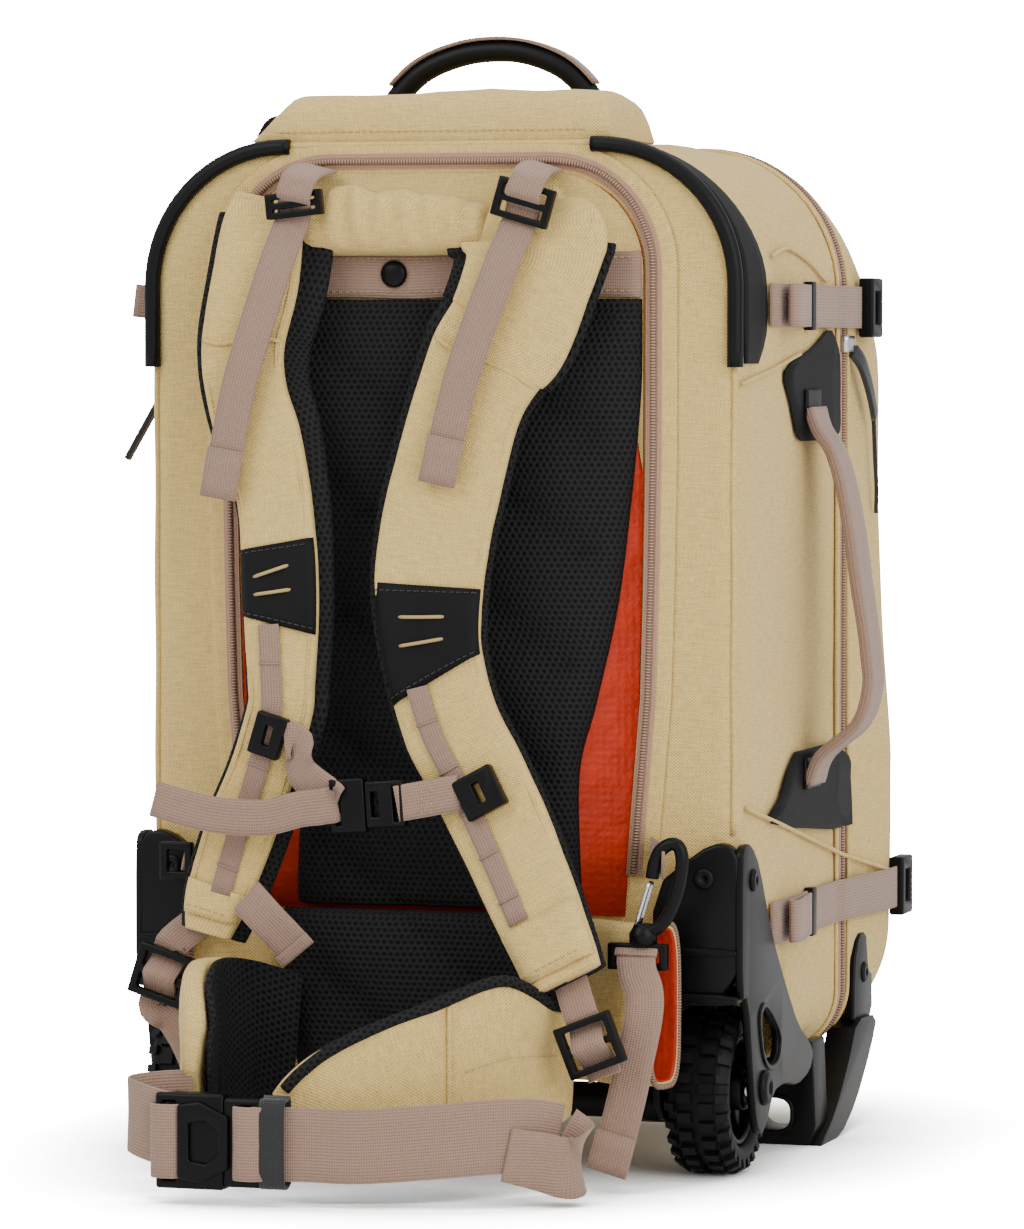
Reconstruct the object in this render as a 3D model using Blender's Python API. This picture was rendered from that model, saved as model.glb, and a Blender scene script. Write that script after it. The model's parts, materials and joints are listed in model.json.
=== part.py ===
"""Wheeled travel backpack: a soft pack on two wheels and two feet, with a stowable shoulder harness.

Metres, +Z up. The pack stands on its wheels and feet. The harness face looks along -Y and its
plane is at y = 0 while the pieces are made; at the end everything is moved together so that the
middle of the pack's box stands over the origin. X runs across the pack, from left to right.
"""

from collections import namedtuple
import math

import bmesh
import bpy
import numpy as np
from mathutils import Matrix, Vector

# Main sizes of the pack
PACK_WIDTH = 0.355
PACK_TOP = 0.590
PACK_FLOOR = 0.050
SHELL_DEPTH = 0.234
PANEL_DEPTH = 0.114
CLOTH_WALL = 0.003
TOP_CORNER = 0.084
BOTTOM_CORNER = 0.036
FACE_EDGE_ROUND = 0.010
SEAM_GAP = 0.0003
TOUCH_GAP = 0.0005

# Zips
MAIN_ZIP_WIDTH = 0.013
HARNESS_ZIP_WIDTH = 0.009
ZIP_THICKNESS = 0.0016
HARNESS_ZIP_HALF_WIDTH = 0.1275
HARNESS_ZIP_TOP = PACK_TOP - 0.013
HARNESS_ZIP_END = 0.172
HARNESS_ZIP_CORNER = 0.062

# Top flap and handles
FLAP_WIDTH = 0.214
FLAP_DEPTH = 0.092
FLAP_RISE = 0.028
FLAP_START = 0.003
GRAB_SPAN = 0.150
GRAB_RISE = 0.056
GRAB_RADIUS = 0.0058
GRAB_DEPTH_PLACE = 0.110
SIDE_HANDLE_TOP = 0.437
SIDE_HANDLE_BOTTOM = 0.215
SIDE_HANDLE_STANDOFF = 0.040
SIDE_HANDLE_WIDTH = 0.030
SIDE_HANDLE_THICKNESS = 0.004
SIDE_HANDLE_PLACE = 0.150

# Corner guards
GUARD_RADIUS = 0.0042
GUARD_LEG = 0.042
GUARD_RUN = 0.004

# Harness panel
BACKING_THICKNESS = 0.0012
BACK_PAD_THICKNESS = 0.014
BAND_HEIGHT = 0.026
BAND_HIGH = HARNESS_ZIP_TOP - 0.051
BAND_LOW = BAND_HIGH - BAND_HEIGHT
BACK_PAD_TOP = BAND_LOW - 0.001
LUMBAR_SEAM = 0.151
SLEEVE_HALF_WIDTH = 0.147
SLEEVE_SLANT = 0.010
SLEEVE_FORWARD = 0.0175
SLEEVE_LOW = 0.056
SLEEVE_HIGH = 0.148
SLEEVE_DEPTH = 0.024
SLEEVE_WALL = 0.0025
LUMBAR_THICKNESS = 0.016
BAND_HALF_WIDTH = 0.121
WEBBING_THICKNESS = 0.0017
YOKE_TOP = HARNESS_ZIP_TOP - 0.016
YOKE_THICKNESS = 0.012

# Shoulder straps
STRAP_WIDTH = 0.062
STRAP_FACE_THICKNESS = 0.008
STRAP_LINING_THICKNESS = 0.0055
STRAP_LINING_MARGIN = 0.003
PLY_GAP = 0.0010
STRAP_STANDOFF = 0.040
LIFTER_WIDTH = 0.025

# Buckles: a frame's bar and plate sizes
LADDER_WIDTH = 0.038
LADDER_HEIGHT = 0.030
LADDER_THICKNESS = 0.007
LADDER_BAR = 0.0045
LIFTER_BUCKLE_HEIGHT = 0.022

# Chest strap
CHEST_WEBBING = 0.020
CHEST_BUCKLE_LENGTH = 0.044
CHEST_BUCKLE_HEIGHT = 0.031
CHEST_BUCKLE_THICKNESS = 0.009
SLIDER_SIZE = 0.027
SLIDER_THICKNESS = 0.007

# Hip belt
BELT_REACH = 0.170
BELT_HEIGHT = 0.100
BELT_THICKNESS = 0.013
BELT_WEBBING = 0.041
BELT_BUCKLE_HEIGHT = 0.053
BELT_BUCKLE_THICKNESS = 0.014

# Side compression straps
COMPRESSION_WEBBING = 0.025
UPPER_STRAP_HEIGHT = 0.496
LOWER_STRAP_HEIGHT = 0.140
SIDE_BUCKLE_LENGTH = 0.026
SIDE_BUCKLE_HEIGHT = 0.036
SIDE_BUCKLE_THICKNESS = 0.009

# Wheels and chassis
WHEEL_RADIUS = 0.048
WHEEL_WIDTH = 0.036
WHEEL_ACROSS = 0.156
WHEEL_PLACE = 0.030
TREAD_HEIGHT = 0.003
KNOB_RISE = 0.94 * TREAD_HEIGHT
KNOB_INSET = 0.0009
RIM_RADIUS = 0.0315
RIM_WALL = 0.003
RIM_WIDTH = 0.030
HUB_RADIUS = 0.0105
SPOKE_WIDTH = 0.008
SPOKE_COUNT = 5
AXLE_RADIUS = 0.004
AXLE_CLEARANCE = 0.0003
TREAD_STEPS = 20
BORE_STEPS = 16
WHEEL_GAP = 0.004
HOUSING_TOP = 0.192
HOUSING_WALL = 0.0045
HOUSING_FRONT_DEPTH = 0.012
HOUSING_SPAN = 0.063
ARCH_TOP = 0.104
WELL_DEPTH = 0.098
WELL_TOP = 0.110
BEAM_RADIUS = 0.0100
BEAM_HEIGHT = 0.0395
FOOT_FRONT = 0.157
FOOT_SOLE_LENGTH = 0.046
FOOT_BAR = 0.009
FOOT_PLATE_HIGH = 0.116
FOOT_PLATE_PLACE = 0.271
FOOT_PLATE_WIDTH = 0.048
FOOT_PLATE_THICKNESS = 0.0045

# Snap hook
HOOK_WIRE = 0.0034
HOOK_PLACE = 0.050
HOOK_ACROSS = 0.1335
HOOK_FOOT = 0.146
HOOK_HEIGHT = 0.047
HOOK_REACH = 0.024
GATE_WIRE = 0.0010
GATE_WIDTH = 0.0052

HALF_WIDTH = PACK_WIDTH / 2
PANEL_START = SHELL_DEPTH + SEAM_GAP
PACK_DEPTH = PANEL_START + PANEL_DEPTH

COLOURS = {
    "canvas": ((0.69, 0.55, 0.29), 0.85, 0.0),
    "webbing": ((0.38, 0.26, 0.21), 0.80, 0.0),
    "zip_tape": ((0.50, 0.32, 0.22), 0.70, 0.0),
    "lining": ((0.76, 0.09, 0.024), 0.55, 0.0),
    "spacer_mesh": ((0.010, 0.010, 0.011), 0.90, 0.0),
    "patch": ((0.030, 0.030, 0.031), 0.60, 0.0),
    "plastic": ((0.022, 0.023, 0.025), 0.45, 0.0),
    "rubber": ((0.018, 0.019, 0.021), 0.55, 0.0),
    "tyre": ((0.016, 0.017, 0.018), 0.65, 0.0),
    "steel": ((0.60, 0.60, 0.62), 0.25, 1.0),
}

# Rows of the pack's outline, from the harness face to the seam of the front panel and over it
PackRow = namedtuple("PackRow", "depth width top low corner")

FACE_ROW = PackRow(0.0, 0.992, 0.996, 0.02, 0.97)
SHELL_ROWS = [
    PackRow(0.10, 0.992, 0.996, 0.02, 0.97),
    PackRow(0.35, 1.000, 1.000, 0.00, 1.00),
    PackRow(0.70, 1.000, 1.000, 0.00, 1.00),
    PackRow(1.00, 0.996, 0.998, 0.00, 1.00),
]
PANEL_ROWS = [
    PackRow(0.00, 0.996, 0.998, 0.00, 1.00),
    PackRow(0.30, 0.998, 0.994, 0.01, 1.05),
    PackRow(0.55, 0.994, 0.980, 0.02, 1.18),
    PackRow(0.74, 0.980, 0.960, 0.04, 1.32),
    PackRow(0.90, 0.945, 0.928, 0.08, 1.42),
    PackRow(1.00, 0.860, 0.872, 0.14, 1.45),
]


def material(kind):
    """One Principled material of its own for an object, in the colour of its kind."""
    colour, roughness, metallic = COLOURS[kind]
    made = bpy.data.materials.new(kind)
    made.use_nodes = True
    shader = made.node_tree.nodes["Principled BSDF"]
    shader.inputs["Base Color"].default_value = (*colour, 1.0)
    shader.inputs["Roughness"].default_value = roughness
    shader.inputs["Metallic"].default_value = metallic
    return made


def add_object(name, kind, mesh_data):
    """Puts a bmesh into the scene as a named object and frees it."""
    bmesh.ops.recalc_face_normals(mesh_data, faces=mesh_data.faces)
    mesh = bpy.data.meshes.new(name)
    mesh_data.to_mesh(mesh)
    mesh_data.free()
    made = bpy.data.objects.new(name, mesh)
    bpy.context.scene.collection.objects.link(made)
    mesh.materials.append(material(kind))
    return made


def lofted(rings, closed=False):
    """A bmesh through rings of equal point count. A closed loft joins its last ring to its first."""
    mesh_data = bmesh.new()
    rows = [[mesh_data.verts.new(point) for point in ring] for ring in rings]
    count = len(rows[0])
    pairs = list(zip(rows, rows[1:]))
    if closed:
        pairs.append((rows[-1], rows[0]))
    for first, second in pairs:
        for i in range(count):
            j = (i + 1) % count
            mesh_data.faces.new((first[i], first[j], second[j], second[i]))
    if not closed:
        mesh_data.faces.new(rows[0])
        mesh_data.faces.new(list(reversed(rows[-1])))
    return mesh_data


def smooth_rows(rows, steps):
    """Rows read from a smooth curve through the given rows, with steps stretches between two rows."""
    table = np.array([list(row) for row in rows], dtype=float)
    last = len(table) - 1
    found = []
    for i in range(last):
        before, start = table[max(i - 1, 0)], table[i]
        end, after = table[i + 1], table[min(i + 2, last)]
        for k in range(steps):
            t = k / steps
            found.append(
                0.5 * (2 * start + (end - before) * t + (2 * before - 5 * start + 4 * end - after) * t**2
                       + (3 * start - before - 3 * end + after) * t**3)
            )
    found.append(table[last])
    return found


def path_frames(points, across_hint=None):
    """For each point of a path: its tangent, the direction across the band and the one out of it.

    Without a hint the band's width stays parallel to the harness face.
    """
    frames = []
    last = len(points) - 1
    for i in range(last + 1):
        tangent = (points[min(i + 1, last)] - points[max(i - 1, 0)]).normalized()
        if across_hint is None:
            across = tangent.cross(Vector((0, 1, 0))).normalized()
        else:
            across = (across_hint - across_hint.dot(tangent) * tangent).normalized()
        frames.append((tangent, across, across.cross(tangent).normalized()))
    return frames


FLAT_PROFILE = [(-1, -1), (1, -1), (1, 1), (-1, 1)]
PADDED_PROFILE = [(-1, -0.15), (-0.88, -1), (0, -1), (0.88, -1), (1, -0.15), (0.86, 0.75), (0, 1), (-0.86, 0.75)]
SOFT_PROFILE = [(-1, 0), (-0.8, -1), (0.8, -1), (1, 0), (0.8, 1), (-0.8, 1)]


def band(name, kind, points, widths, thickness, across_hint, profile=FLAT_PROFILE, lift=0.0):
    """A flat or padded band along a path; lift moves it out of the path along its own normal."""
    frames = path_frames(points, across_hint)
    rings = []
    for point, (tangent, across, out), width in zip(points, frames, widths):
        centre = point + out * lift
        rings.append([
            centre + across * (a * width / 2) + out * (b * thickness / 2) for a, b in profile
        ])
    return add_object(name, kind, lofted(rings))


def tube_mesh(points, radius, sides, across_hint):
    """A bmesh tube along a path."""
    rings = []
    for point, (tangent, across, out) in zip(points, path_frames(points, across_hint)):
        rings.append([
            point + across * (radius * math.cos(a)) + out * (radius * math.sin(a))
            for a in (math.tau * k / sides for k in range(sides))
        ])
    return lofted(rings)


def prism(outline, low, high, axis):
    """A bmesh slab: an outline of two coordinates carried from low to high along an axis."""
    places = {"X": (1, 2, 0), "Y": (0, 2, 1), "Z": (0, 1, 2)}[axis]

    def placed(point, level):
        found = [0.0, 0.0, 0.0]
        found[places[0]], found[places[1]], found[places[2]] = point[0], point[1], level
        return Vector(found)

    return lofted([[placed(point, level) for point in outline] for level in (low, high)])


def temporary(mesh_data, name="cutter"):
    """A working object for a Boolean, kept out of the result."""
    made = add_object(name, "plastic", mesh_data)
    made.hide_render = True
    made.display_type = "WIRE"
    return made


def boolean(target, tool_mesh, operation):
    """Joins or cuts the target with a bmesh, and removes the working object."""
    tool = temporary(tool_mesh)
    step = target.modifiers.new(operation.lower(), "BOOLEAN")
    step.operation = operation
    step.solver = "EXACT"
    step.object = tool
    shape = target.evaluated_get(bpy.context.evaluated_depsgraph_get())
    mesh = bpy.data.meshes.new_from_object(shape)
    target.modifiers.clear()
    target.data = mesh
    bpy.data.objects.remove(tool, do_unlink=True)
    tidy = bmesh.new()
    tidy.from_mesh(mesh)
    bmesh.ops.remove_doubles(tidy, verts=tidy.verts, dist=0.00002)
    bmesh.ops.dissolve_degenerate(tidy, edges=tidy.edges, dist=0.00001)
    tidy.to_mesh(mesh)
    tidy.free()


def mirrored(source, name):
    """A copy of an object on the other side of the pack's middle plane."""
    mesh_data = bmesh.new()
    mesh_data.from_mesh(source.data)
    bmesh.ops.transform(mesh_data, matrix=Matrix.Scale(-1, 4, (1, 0, 0)), verts=mesh_data.verts)
    bmesh.ops.reverse_faces(mesh_data, faces=mesh_data.faces)
    mesh = bpy.data.meshes.new(name)
    mesh_data.to_mesh(mesh)
    mesh_data.free()
    made = bpy.data.objects.new(name, mesh)
    bpy.context.scene.collection.objects.link(made)
    for slot in source.data.materials:
        mesh.materials.append(slot.copy())
    return made


# The pack's outline

CORNER_STEPS = 5
SIDE_STEPS = 3


def pack_ring(row, start, depth, inset=0.0, along=0.0):
    """The pack's outline at one row: half width, underside, top and rounded corners, inset by a wall."""
    half = HALF_WIDTH * row.width - inset
    top = PACK_FLOOR + (PACK_TOP - PACK_FLOOR) * row.top - inset
    low = PACK_FLOOR + (PACK_TOP - PACK_FLOOR) * row.low + inset
    high_corner = TOP_CORNER * row.corner - inset
    low_corner = BOTTOM_CORNER * row.corner - inset
    y = start + depth * row.depth + along
    ring = []
    corners = [
        (half - high_corner, top - high_corner, high_corner, 0.0),
        (-half + high_corner, top - high_corner, high_corner, 0.25),
        (-half + low_corner, low + low_corner, low_corner, 0.5),
        (half - low_corner, low + low_corner, low_corner, 0.75),
    ]
    for across, height, radius, turn in corners:
        for k in range(CORNER_STEPS + 1):
            angle = math.tau * (turn + 0.25 * k / CORNER_STEPS)
            ring.append(Vector((across + radius * math.cos(angle), y, height + radius * math.sin(angle))))
    full = []
    for i, point in enumerate(ring):
        full.append(point)
        follower = ring[(i + 1) % len(ring)]
        if i % (CORNER_STEPS + 1) == CORNER_STEPS:
            full += [point.lerp(follower, k / SIDE_STEPS) for k in range(1, SIDE_STEPS)]
    return full


def face_edge_rows():
    """The rounded edge between the harness face and the sides, as rows of inset and depth."""
    angles = [math.radians(90 * k / 3) for k in range(4)]
    return [(FACE_EDGE_ROUND * (1 - math.sin(a)), FACE_EDGE_ROUND * (1 - math.cos(a))) for a in angles]


def shell_rings(inset):
    """Rings of the main shell, offset inwards by a wall, from the harness face to the front seam."""
    rings = []
    for edge_inset, depth in face_edge_rows():
        rings.append(pack_ring(FACE_ROW, 0.0, 0.0, inset + edge_inset, depth + inset))
    rings += [pack_ring(row, 0.0, SHELL_DEPTH, inset) for row in SHELL_ROWS]
    return rings


def side_reach(depth, height):
    """How far the pack's side stands from its middle plane at a depth and a height."""
    rows = [(SHELL_DEPTH * row.depth, row) for row in SHELL_ROWS]
    rows += [(PANEL_START + PANEL_DEPTH * row.depth, row) for row in PANEL_ROWS]
    depths = [place for place, _ in rows]
    columns = np.array([list(row) for _, row in rows])
    values = [float(np.interp(depth, depths, columns[:, k])) for k in range(columns.shape[1])]
    row = PackRow(*values)
    half = HALF_WIDTH * row.width
    tall = PACK_TOP - PACK_FLOOR
    high_corner = TOP_CORNER * row.corner
    low_corner = BOTTOM_CORNER * row.corner
    above = height - (PACK_FLOOR + tall * row.top - high_corner)
    below = (PACK_FLOOR + tall * row.low + low_corner) - height
    if above > 0:
        return half - high_corner + math.sqrt(max(high_corner**2 - above**2, 0.0))
    if below > 0:
        return half - low_corner + math.sqrt(max(low_corner**2 - below**2, 0.0))
    return half


def well_mesh(side, grow):
    """The wheel well as a block, grown by a wall; it passes out of the pack's corner."""
    inner = WHEEL_ACROSS - WHEEL_WIDTH / 2 - WHEEL_GAP - 2 * HOUSING_WALL - grow
    outer = HALF_WIDTH + 0.02
    outline = [(side * inner, -0.02), (side * outer, -0.02), (side * outer, WELL_DEPTH + grow),
               (side * inner, WELL_DEPTH + grow)]
    return prism(outline, PACK_FLOOR - 0.02, WELL_TOP + grow, "Z")


def make_shell():
    """The main compartment: a cloth tub open to the front seam, with a well in each lower corner."""
    shell = add_object("pack_shell", "canvas", lofted(shell_rings(0.0)))
    for side in (-1, 1):
        boolean(shell, well_mesh(side, 0.0), "DIFFERENCE")
    rings = shell_rings(CLOTH_WALL)
    rings.append([Vector((point.x, SHELL_DEPTH + 0.01, point.z)) for point in rings[-1]])
    hollow = add_object("hollow", "canvas", lofted(rings))
    for side in (-1, 1):
        boolean(hollow, well_mesh(side, CLOTH_WALL), "DIFFERENCE")
    hollow_mesh = bmesh.new()
    hollow_mesh.from_mesh(hollow.data)
    bpy.data.objects.remove(hollow, do_unlink=True)
    boolean(shell, hollow_mesh, "DIFFERENCE")
    return shell


def make_front_panel():
    """The front panel: a domed cloth cap that closes the shell along the main zip."""
    outer = [pack_ring(row, PANEL_START, PANEL_DEPTH) for row in PANEL_ROWS]
    panel = add_object("front_panel", "canvas", lofted(outer))
    inner = [pack_ring(row, PANEL_START, PANEL_DEPTH - CLOTH_WALL, CLOTH_WALL) for row in PANEL_ROWS]
    inner.insert(0, [Vector((point.x, PANEL_START - 0.01, point.z)) for point in inner[0]])
    boolean(panel, lofted(inner), "DIFFERENCE")
    return panel


def make_main_zip():
    """The main zip: a closed loop of tape over the seam between shell and front panel."""
    rings = []
    row = SHELL_ROWS[-1]
    inner = pack_ring(row, 0.0, SHELL_DEPTH, -TOUCH_GAP)
    outer = pack_ring(row, 0.0, SHELL_DEPTH, -TOUCH_GAP - ZIP_THICKNESS)
    for near, far in zip(inner, outer):
        reach = [(near, -1), (near, 1), (far, 1), (far, -1)]
        rings.append([point + Vector((0, end * MAIN_ZIP_WIDTH / 2, 0)) for point, end in reach])
    return add_object("main_zip", "zip_tape", lofted(rings, closed=True))


# Top of the pack


def make_top_flap():
    """The padded cover over the stowed pull handle."""
    FlapRow = namedtuple("FlapRow", "across depth rise")
    rows = [FlapRow(-1.0, 0.80, 0.50), FlapRow(-0.97, 0.94, 0.84), FlapRow(-0.80, 1.0, 0.97),
            FlapRow(-0.30, 1.0, 1.0), FlapRow(0.30, 1.0, 1.0), FlapRow(0.80, 1.0, 0.97),
            FlapRow(0.97, 0.94, 0.84), FlapRow(1.0, 0.80, 0.50)]
    profile = [(0.0, 0.0), (0.0, 0.45), (0.05, 0.75), (0.15, 0.93), (0.35, 1.0), (0.65, 1.0),
               (0.85, 0.88), (0.96, 0.6), (1.0, 0.0)]
    base = PACK_TOP + TOUCH_GAP
    rings = []
    for row in rows:
        slack = FLAP_DEPTH * (1 - row.depth) / 2
        rings.append([
            Vector((row.across * FLAP_WIDTH / 2, FLAP_START + slack + share * FLAP_DEPTH * row.depth,
                    base + up * FLAP_RISE * row.rise))
            for share, up in profile
        ])
    return add_object("top_flap", "canvas", lofted(rings))


def make_grab_handle():
    """The padded grab handle, a flat-topped arch behind the flap."""
    GrabRow = namedtuple("GrabRow", "across rise")
    rows = [GrabRow(-1.0, 0.0), GrabRow(-1.0, 0.15), GrabRow(-0.93, 0.45), GrabRow(-0.70, 0.80),
            GrabRow(-0.35, 0.97), GrabRow(0.0, 1.0), GrabRow(0.35, 0.97), GrabRow(0.70, 0.80), GrabRow(0.93, 0.45),
            GrabRow(1.0, 0.15), GrabRow(1.0, 0.0)]
    base = PACK_TOP + TOUCH_GAP
    points = [
        Vector((across * GRAB_SPAN / 2, GRAB_DEPTH_PLACE, base + rise * GRAB_RISE))
        for across, rise in [rows[0], *smooth_rows(rows[1:-1], 2), rows[-1]]
    ]
    return add_object("grab_handle", "rubber", tube_mesh(points, GRAB_RADIUS, 8, Vector((0, 1, 0))))


def corner_path(side, radius, run, leg, steps=8):
    """A path over a top corner of the pack: a short run along the top, an arc and a leg down the side."""
    corner = TOP_CORNER * FACE_ROW.corner
    centre_x = HALF_WIDTH * FACE_ROW.width - corner
    centre_z = PACK_FLOOR + (PACK_TOP - PACK_FLOOR) * FACE_ROW.top - corner
    points = [(centre_x - run, centre_z + radius)]
    for k in range(steps + 1):
        angle = math.radians(90 - 90 * k / steps)
        points.append((centre_x + radius * math.cos(angle), centre_z + radius * math.sin(angle)))
    points.append((centre_x + radius, centre_z - leg))
    return [(side * x, z) for x, z in points]


def make_corner_guard(side, name):
    """A rubber tube that protects a top corner of the harness face."""
    clear = FACE_EDGE_ROUND + GUARD_RADIUS + TOUCH_GAP
    lean = math.radians(52)
    radius = TOP_CORNER * FACE_ROW.corner - FACE_EDGE_ROUND + clear * math.cos(lean)
    y = FACE_EDGE_ROUND - clear * math.sin(lean)
    points = [Vector((x, y, z)) for x, z in corner_path(side, radius, GUARD_RUN, GUARD_LEG)]
    return add_object(name, "rubber", tube_mesh(points, GUARD_RADIUS, 8, Vector((0, 1, 0))))


# Harness panel


def zip_path(half, top, low, corner, steps=6):
    """The harness opening: up one side, over the top and down the other."""
    right = [(half * 0.91, low), (half * 0.975, low + 0.25 * (top - low)), (half, low + 0.6 * (top - low))]
    for k in range(steps + 1):
        angle = math.radians(90 * k / steps)
        right.append((half - corner + corner * math.cos(angle), top - corner + corner * math.sin(angle)))
    left = [(-x, z) for x, z in reversed(right)]
    return right + left


def make_harness_zip():
    """The tape of the harness zip, an open loop on the harness face."""
    y = -TOUCH_GAP - ZIP_THICKNESS / 2
    path = zip_path(HARNESS_ZIP_HALF_WIDTH, HARNESS_ZIP_TOP, HARNESS_ZIP_END, HARNESS_ZIP_CORNER)
    points = [Vector((x, y, z)) for x, z in path]
    rings = []
    last = len(points) - 1
    for i, point in enumerate(points):
        tangent = (points[min(i + 1, last)] - points[max(i - 1, 0)]).normalized()
        across = Vector((0, 1, 0)).cross(tangent)
        rings.append([
            point + across * (a * HARNESS_ZIP_WIDTH / 2) + Vector((0, b * ZIP_THICKNESS / 2, 0))
            for a, b in FLAT_PROFILE
        ])
    return add_object("harness_zip", "zip_tape", lofted(rings))


def make_harness_backing():
    """The thin lining behind the harness, inside the zip."""
    inset = HARNESS_ZIP_WIDTH / 2 + 6 * TOUCH_GAP
    path = zip_path(HARNESS_ZIP_HALF_WIDTH - inset, HARNESS_ZIP_TOP - inset, SLEEVE_HIGH + TOUCH_GAP,
                    HARNESS_ZIP_CORNER - inset)
    return add_object("harness_backing", "lining",
                      prism(path, -TOUCH_GAP - BACKING_THICKNESS, -TOUCH_GAP, "Y"))


PadRow = namedtuple("PadRow", "height half_width thickness")


def pad_mesh(rows, base, floor, tall, half, thickness, steps=2):
    """A crowned pad: one ring for each height, flat on its back and rounded in front."""
    profile = [(-1.0, 0.0), (-0.97, 0.55), (-0.80, 0.90), (-0.4, 1.0), (0.0, 0.96), (0.4, 1.0),
               (0.80, 0.90), (0.97, 0.55), (1.0, 0.0)]
    rings = []
    for height, width, deep in smooth_rows(rows, steps):
        rings.append([
            Vector((across * half * width, base - out * thickness * deep, floor + tall * height))
            for across, out in profile
        ])
    return lofted(rings)


BACKING_FRONT = -2 * TOUCH_GAP - BACKING_THICKNESS

BACK_PAD_ROWS = [
    PadRow(0.00, 0.66, 0.55),
    PadRow(0.03, 0.67, 0.95),
    PadRow(0.22, 0.66, 1.00),
    PadRow(0.34, 0.74, 1.00),
    PadRow(0.52, 0.88, 0.95),
    PadRow(0.72, 0.96, 0.92),
    PadRow(0.90, 0.98, 0.85),
    PadRow(1.00, 0.98, 0.45),
]
LUMBAR_ROWS = [
    PadRow(0.00, 0.55, 0.45),
    PadRow(0.10, 0.60, 0.90),
    PadRow(0.50, 0.66, 1.00),
    PadRow(0.92, 0.68, 0.95),
    PadRow(1.00, 0.67, 0.60),
]


def make_back_pad():
    """The spacer-mesh back pad, which narrows towards the lumbar seam."""
    low = LUMBAR_SEAM + TOUCH_GAP
    rows = pad_mesh(BACK_PAD_ROWS, BACKING_FRONT, low, BACK_PAD_TOP - low, HARNESS_ZIP_HALF_WIDTH,
                    BACK_PAD_THICKNESS)
    return add_object("back_pad", "spacer_mesh", rows)


def sleeve_rings(inset, overrun):
    """The belt sleeve's outline along X: a flat tube with round edges and slanting mouths."""
    middle = (SLEEVE_LOW + SLEEVE_HIGH) / 2
    tall = (SLEEVE_HIGH - SLEEVE_LOW) / 2 - inset
    deep = SLEEVE_DEPTH / 2 - inset
    centre_y = -2 * TOUCH_GAP - SLEEVE_DEPTH / 2
    shape = [(1.0, 0.0), (0.92, 0.6), (0.7, 0.9), (0.35, 1.0), (-0.35, 1.0), (-0.7, 0.9), (-0.92, 0.6),
             (-1.0, 0.0), (-0.92, -0.75), (-0.7, -1.0), (0.7, -1.0), (0.92, -0.75)]
    SleeveRow = namedtuple("SleeveRow", "across slant forward")
    half_rows = [SleeveRow(0.58, 0.0, 0.0), SleeveRow(0.68, 0.0, 0.30), SleeveRow(0.80, 0.0, 1.0),
                 SleeveRow(1.0, 1.0, 1.0)]
    stations = [row._replace(across=-row.across) for row in reversed(half_rows)] + half_rows
    rings = []
    for station, slant, forward in stations:
        ring = []
        for up, out in shape:
            lean = SLEEVE_SLANT * slant * (1 + out) / 2
            y = centre_y - out * deep - forward * SLEEVE_FORWARD
            reach = abs(station) * SLEEVE_HALF_WIDTH + overrun * slant - lean
            ring.append(Vector((math.copysign(reach, station), y, middle + up * tall)))
        rings.append(ring)
    return rings


def make_belt_sleeve():
    """The cloth sleeve behind the lumbar pad, open at both ends, into which the belt is stowed."""
    sleeve = add_object("belt_sleeve", "canvas", lofted(sleeve_rings(0.0, 0.0)))
    boolean(sleeve, lofted(sleeve_rings(SLEEVE_WALL, 0.02)), "DIFFERENCE")
    return sleeve


SLEEVE_FRONT = -3 * TOUCH_GAP - SLEEVE_DEPTH


def make_lumbar_pad():
    """The lower part of the back pad, in front of the belt sleeve."""
    low = SLEEVE_LOW - 0.008
    rows = pad_mesh(LUMBAR_ROWS, SLEEVE_FRONT, low, LUMBAR_SEAM - low, HARNESS_ZIP_HALF_WIDTH,
                    LUMBAR_THICKNESS)
    return add_object("lumbar_pad", "spacer_mesh", rows)


def make_harness_band():
    """The webbing band across the top of the back pad."""
    face = BACKING_FRONT - WEBBING_THICKNESS
    outline = [(-BAND_HALF_WIDTH, BAND_LOW), (BAND_HALF_WIDTH, BAND_LOW), (BAND_HALF_WIDTH, BAND_HIGH),
               (-BAND_HALF_WIDTH, BAND_HIGH)]
    add_object("harness_band", "webbing", prism(outline, face, BACKING_FRONT, "Y"))


def make_yoke():
    """The padded yoke between the tops of the shoulder straps, with a wavy upper edge."""
    low = BAND_HIGH + TOUCH_GAP
    YokeRow = namedtuple("YokeRow", "across top thickness")
    rows = [YokeRow(-0.060, 0.80, 0.55), YokeRow(-0.054, 0.86, 0.85), YokeRow(-0.040, 1.00, 1.0),
            YokeRow(-0.012, 0.94, 0.96), YokeRow(0.008, 0.84, 0.92), YokeRow(0.022, 0.74, 0.60)]
    tall = YOKE_TOP - low
    rings = []
    for across, top, deep in smooth_rows(rows, 2):
        high = tall * top
        depth = YOKE_THICKNESS * deep
        shape = [(0.0, 0.0), (0.0, 0.6), (0.15, 0.95), (0.6, 1.0), (0.92, 0.8), (1.0, 0.4), (1.0, 0.0)]
        rings.append([Vector((across, BACKING_FRONT - out * depth, low + up * high)) for up, out in shape])
    add_object("yoke", "canvas", lofted(rings))


# Shoulder straps: height as a share of the pack's top, across as a share of its half width,
# out as a share of the standoff and width as a share of the strap's width

StrapRow = namedtuple("StrapRow", "height across out width")

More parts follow.
